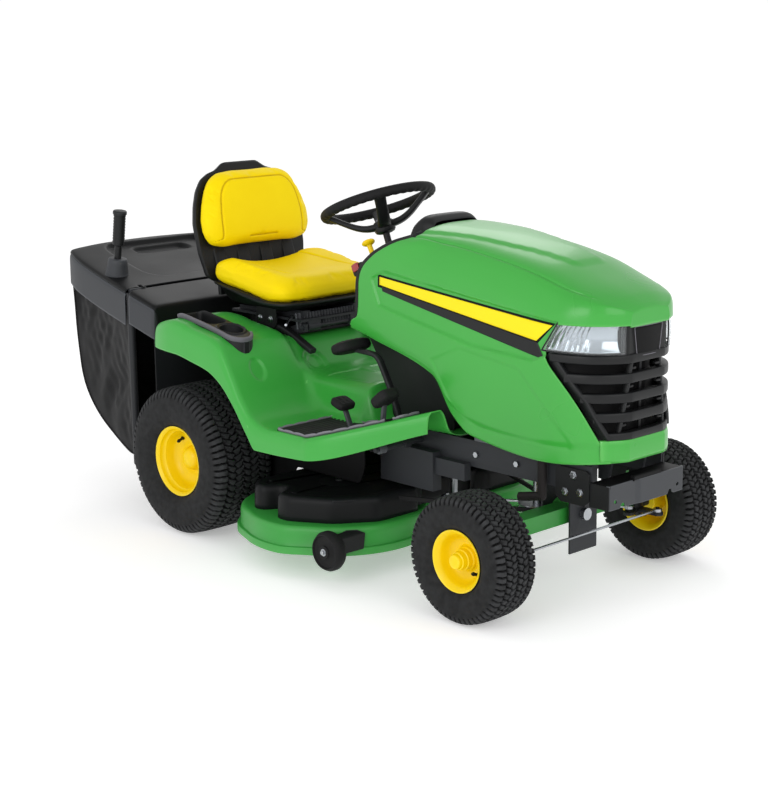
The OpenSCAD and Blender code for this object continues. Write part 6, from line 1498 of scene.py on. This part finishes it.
def make_bumper():
    """Bumper: one bent plate whose right third is set back, with notches round two holes, a shelf behind it
    and side plates."""
    y = np.unique(np.concatenate([np.linspace(-166, 166, 120),
        np.array([-150, -122, 122, 150, -143, -129, 129, 143.0])]))
    z = np.linspace(0, 1, 26)
    set_back = 5 * (1 - rise(y, -52, -30))
    curl = 10 * rise(np.abs(y), 158, 166) ** 2
    low = 316 + 14 * rise(y, -118, -108) * (1 - rise(y, -98, -88)) + 14 * rise(-y, -118, -108) * (1
        - rise(-y, -98, -88))
    p = np.stack([(1191.5 - set_back - curl)[:, None] + 0 * z, y[:, None] + 0 * z,
        low[:, None] + (386 - low)[:, None] * z], -1)
    faces = grid(len(y), 26)
    mid = p.reshape(-1, 3)[faces].mean(1)
    hole = np.hypot(np.abs(mid[:, 1]) - 136, mid[:, 2] - 338) < 6.5
    piece("bumper_plate", (p, faces[~hole]), "bumper", "chassis", "front_bumper", wall=5,
        core=(1000, 0, 350), crease=40)
    shelf = upright([(1118.5, 380), (1186, 380), (1186, 385.5), (1118.5, 385.5)], -160, 160)
    lip = upright([(1180, 385), (1191, 385), (1191, 396), (1188, 398), (1180, 398)], -62, 62)
    piece("bumper_shelf", joined(shelf, lip), "film", "chassis", bevel=1.2)
    sides = [upright([(1118.5, 318), (1184, 318), (1184, 384), (1118.5, 384)], s * 163 - 3, s * 163 + 3)
        for s in (-1, 1)]
    plates = [upright([(998, 330), (1018, 316), (1100, 316), (1118, 330), (1118, 408), (1108, 416),
        (1008, 416), (998, 406)], s * 165 - 4.5, s * 165 + 4.5) for s in (-1, 1)]
    piece("bumper_side_plates", joined(*sides, *plates), "coat", "chassis", bevel=1.2)
    heads = [turned([(0, 6.5), (7.5, 6.5), (9, 5), (9, 1), (13, 0.6), (13, 0)],
        (x, s * 169.6, z), (0, s, 0), 6) for s in (-1, 1) for x, z in ((1032, 346), (1086, 352), (1062, 398))]
    piece("bumper_bolts", joined(*heads), "zinc", "chassis", core=(1060, 0, 360))


KEPT = {"frame_rails": "coat", "fasteners": "zinc", "engine_block": "alloy", "muffler": "heat",
    "battery": "black", "fuel_tank": "white", "transaxle": "alloy", "discharge_chute": "black",
    "seat_bracket": "coat", "engine_pulley": "steel", "steering_shaft": "steel", "steering_sector": "steel",
    "drag_link": "zinc", "tie_rod": "zinc", "front_axle_beam": "deck", "knuckle_right": "coat",
    "knuckle_left": "coat", "deck_belt": "rubber", "spindle_housings": "alloy", "blade_right": "steel",
    "blade_left": "steel", "lift_shaft": "coat", "seat_slide": "coat", "hopper_frame": "coat",
    "throttle_lever": "black", "ignition_key": "steel"}


def dress_kept_nodes():
    """Finishes for the solids whose shape is already right."""
    for node, key in KEPT.items():
        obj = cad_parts[node]
        for slot in obj.material_slots:
            slot.material = FINISH[key][0]
        if not obj.material_slots:
            obj.data.materials.append(FINISH[key][0])


def make_studio():
    """Pale floor, white surroundings that darken a little overhead, and three weak soft boxes."""
    floor = bpy.data.materials.new("matt_white_backdrop_paper")
    floor.use_nodes = True
    shader = floor.node_tree.nodes["Principled BSDF"]
    paper = {"Base Color": linear("#f4f4f4"), "Roughness": 0.9, "Specular IOR Level": 0.1,
        "Emission Color": (1, 1, 1, 1), "Emission Strength": 0.34}
    for socket, value in paper.items():
        shader.inputs[socket].default_value = value
    mesh = bpy.data.meshes.new("floor")
    mesh.from_pydata([(-30, -30, 0), (30, -30, 0), (30, 30, 0), (-30, 30, 0)], [], [(0, 1, 2, 3)])
    mesh.materials.append(floor)
    ground = bpy.data.objects.new("floor", mesh)
    scene.collection.objects.link(ground)
    world = bpy.data.worlds.new("studio")
    world.use_nodes = True
    tree = world.node_tree
    up = add(tree, "SeparateXYZ", {0: (add(tree, "TexCoord"), "Generated")})
    fall = add(tree, "MapRange", {0: (up, "Z"), 1: 0.05, 2: 0.9, 3: 1.02, 4: 0.66})
    tree.nodes["Background"].inputs["Color"].default_value = (1, 1, 1, 1)
    tree.links.new(fall.outputs[0], tree.nodes["Background"].inputs["Strength"])
    scene.world = world
    scene.view_settings.view_transform = "Standard"
    make_light("key", (1.6, -5.2, 2.6), (0.1, 0, 0.6), 3.0, 75, (1, 1, 1))
    make_light("front", (5.2, -1.0, 2.6), (0.2, 0, 0.6), 2.6, 35, (1, 1, 1))
    make_light("back", (-3.0, 3.5, 4.0), (0, 0, 0.6), 2.6, 40, (1, 1, 1))


make_camera()
make_finishes()
make_wheels()
make_hood()
make_grille()
make_fenders()
make_trays()
make_deck()
make_hopper()
make_seat()
make_steering()
make_dash()
make_pedals()
make_bumper()
dress_kept_nodes()
make_studio()
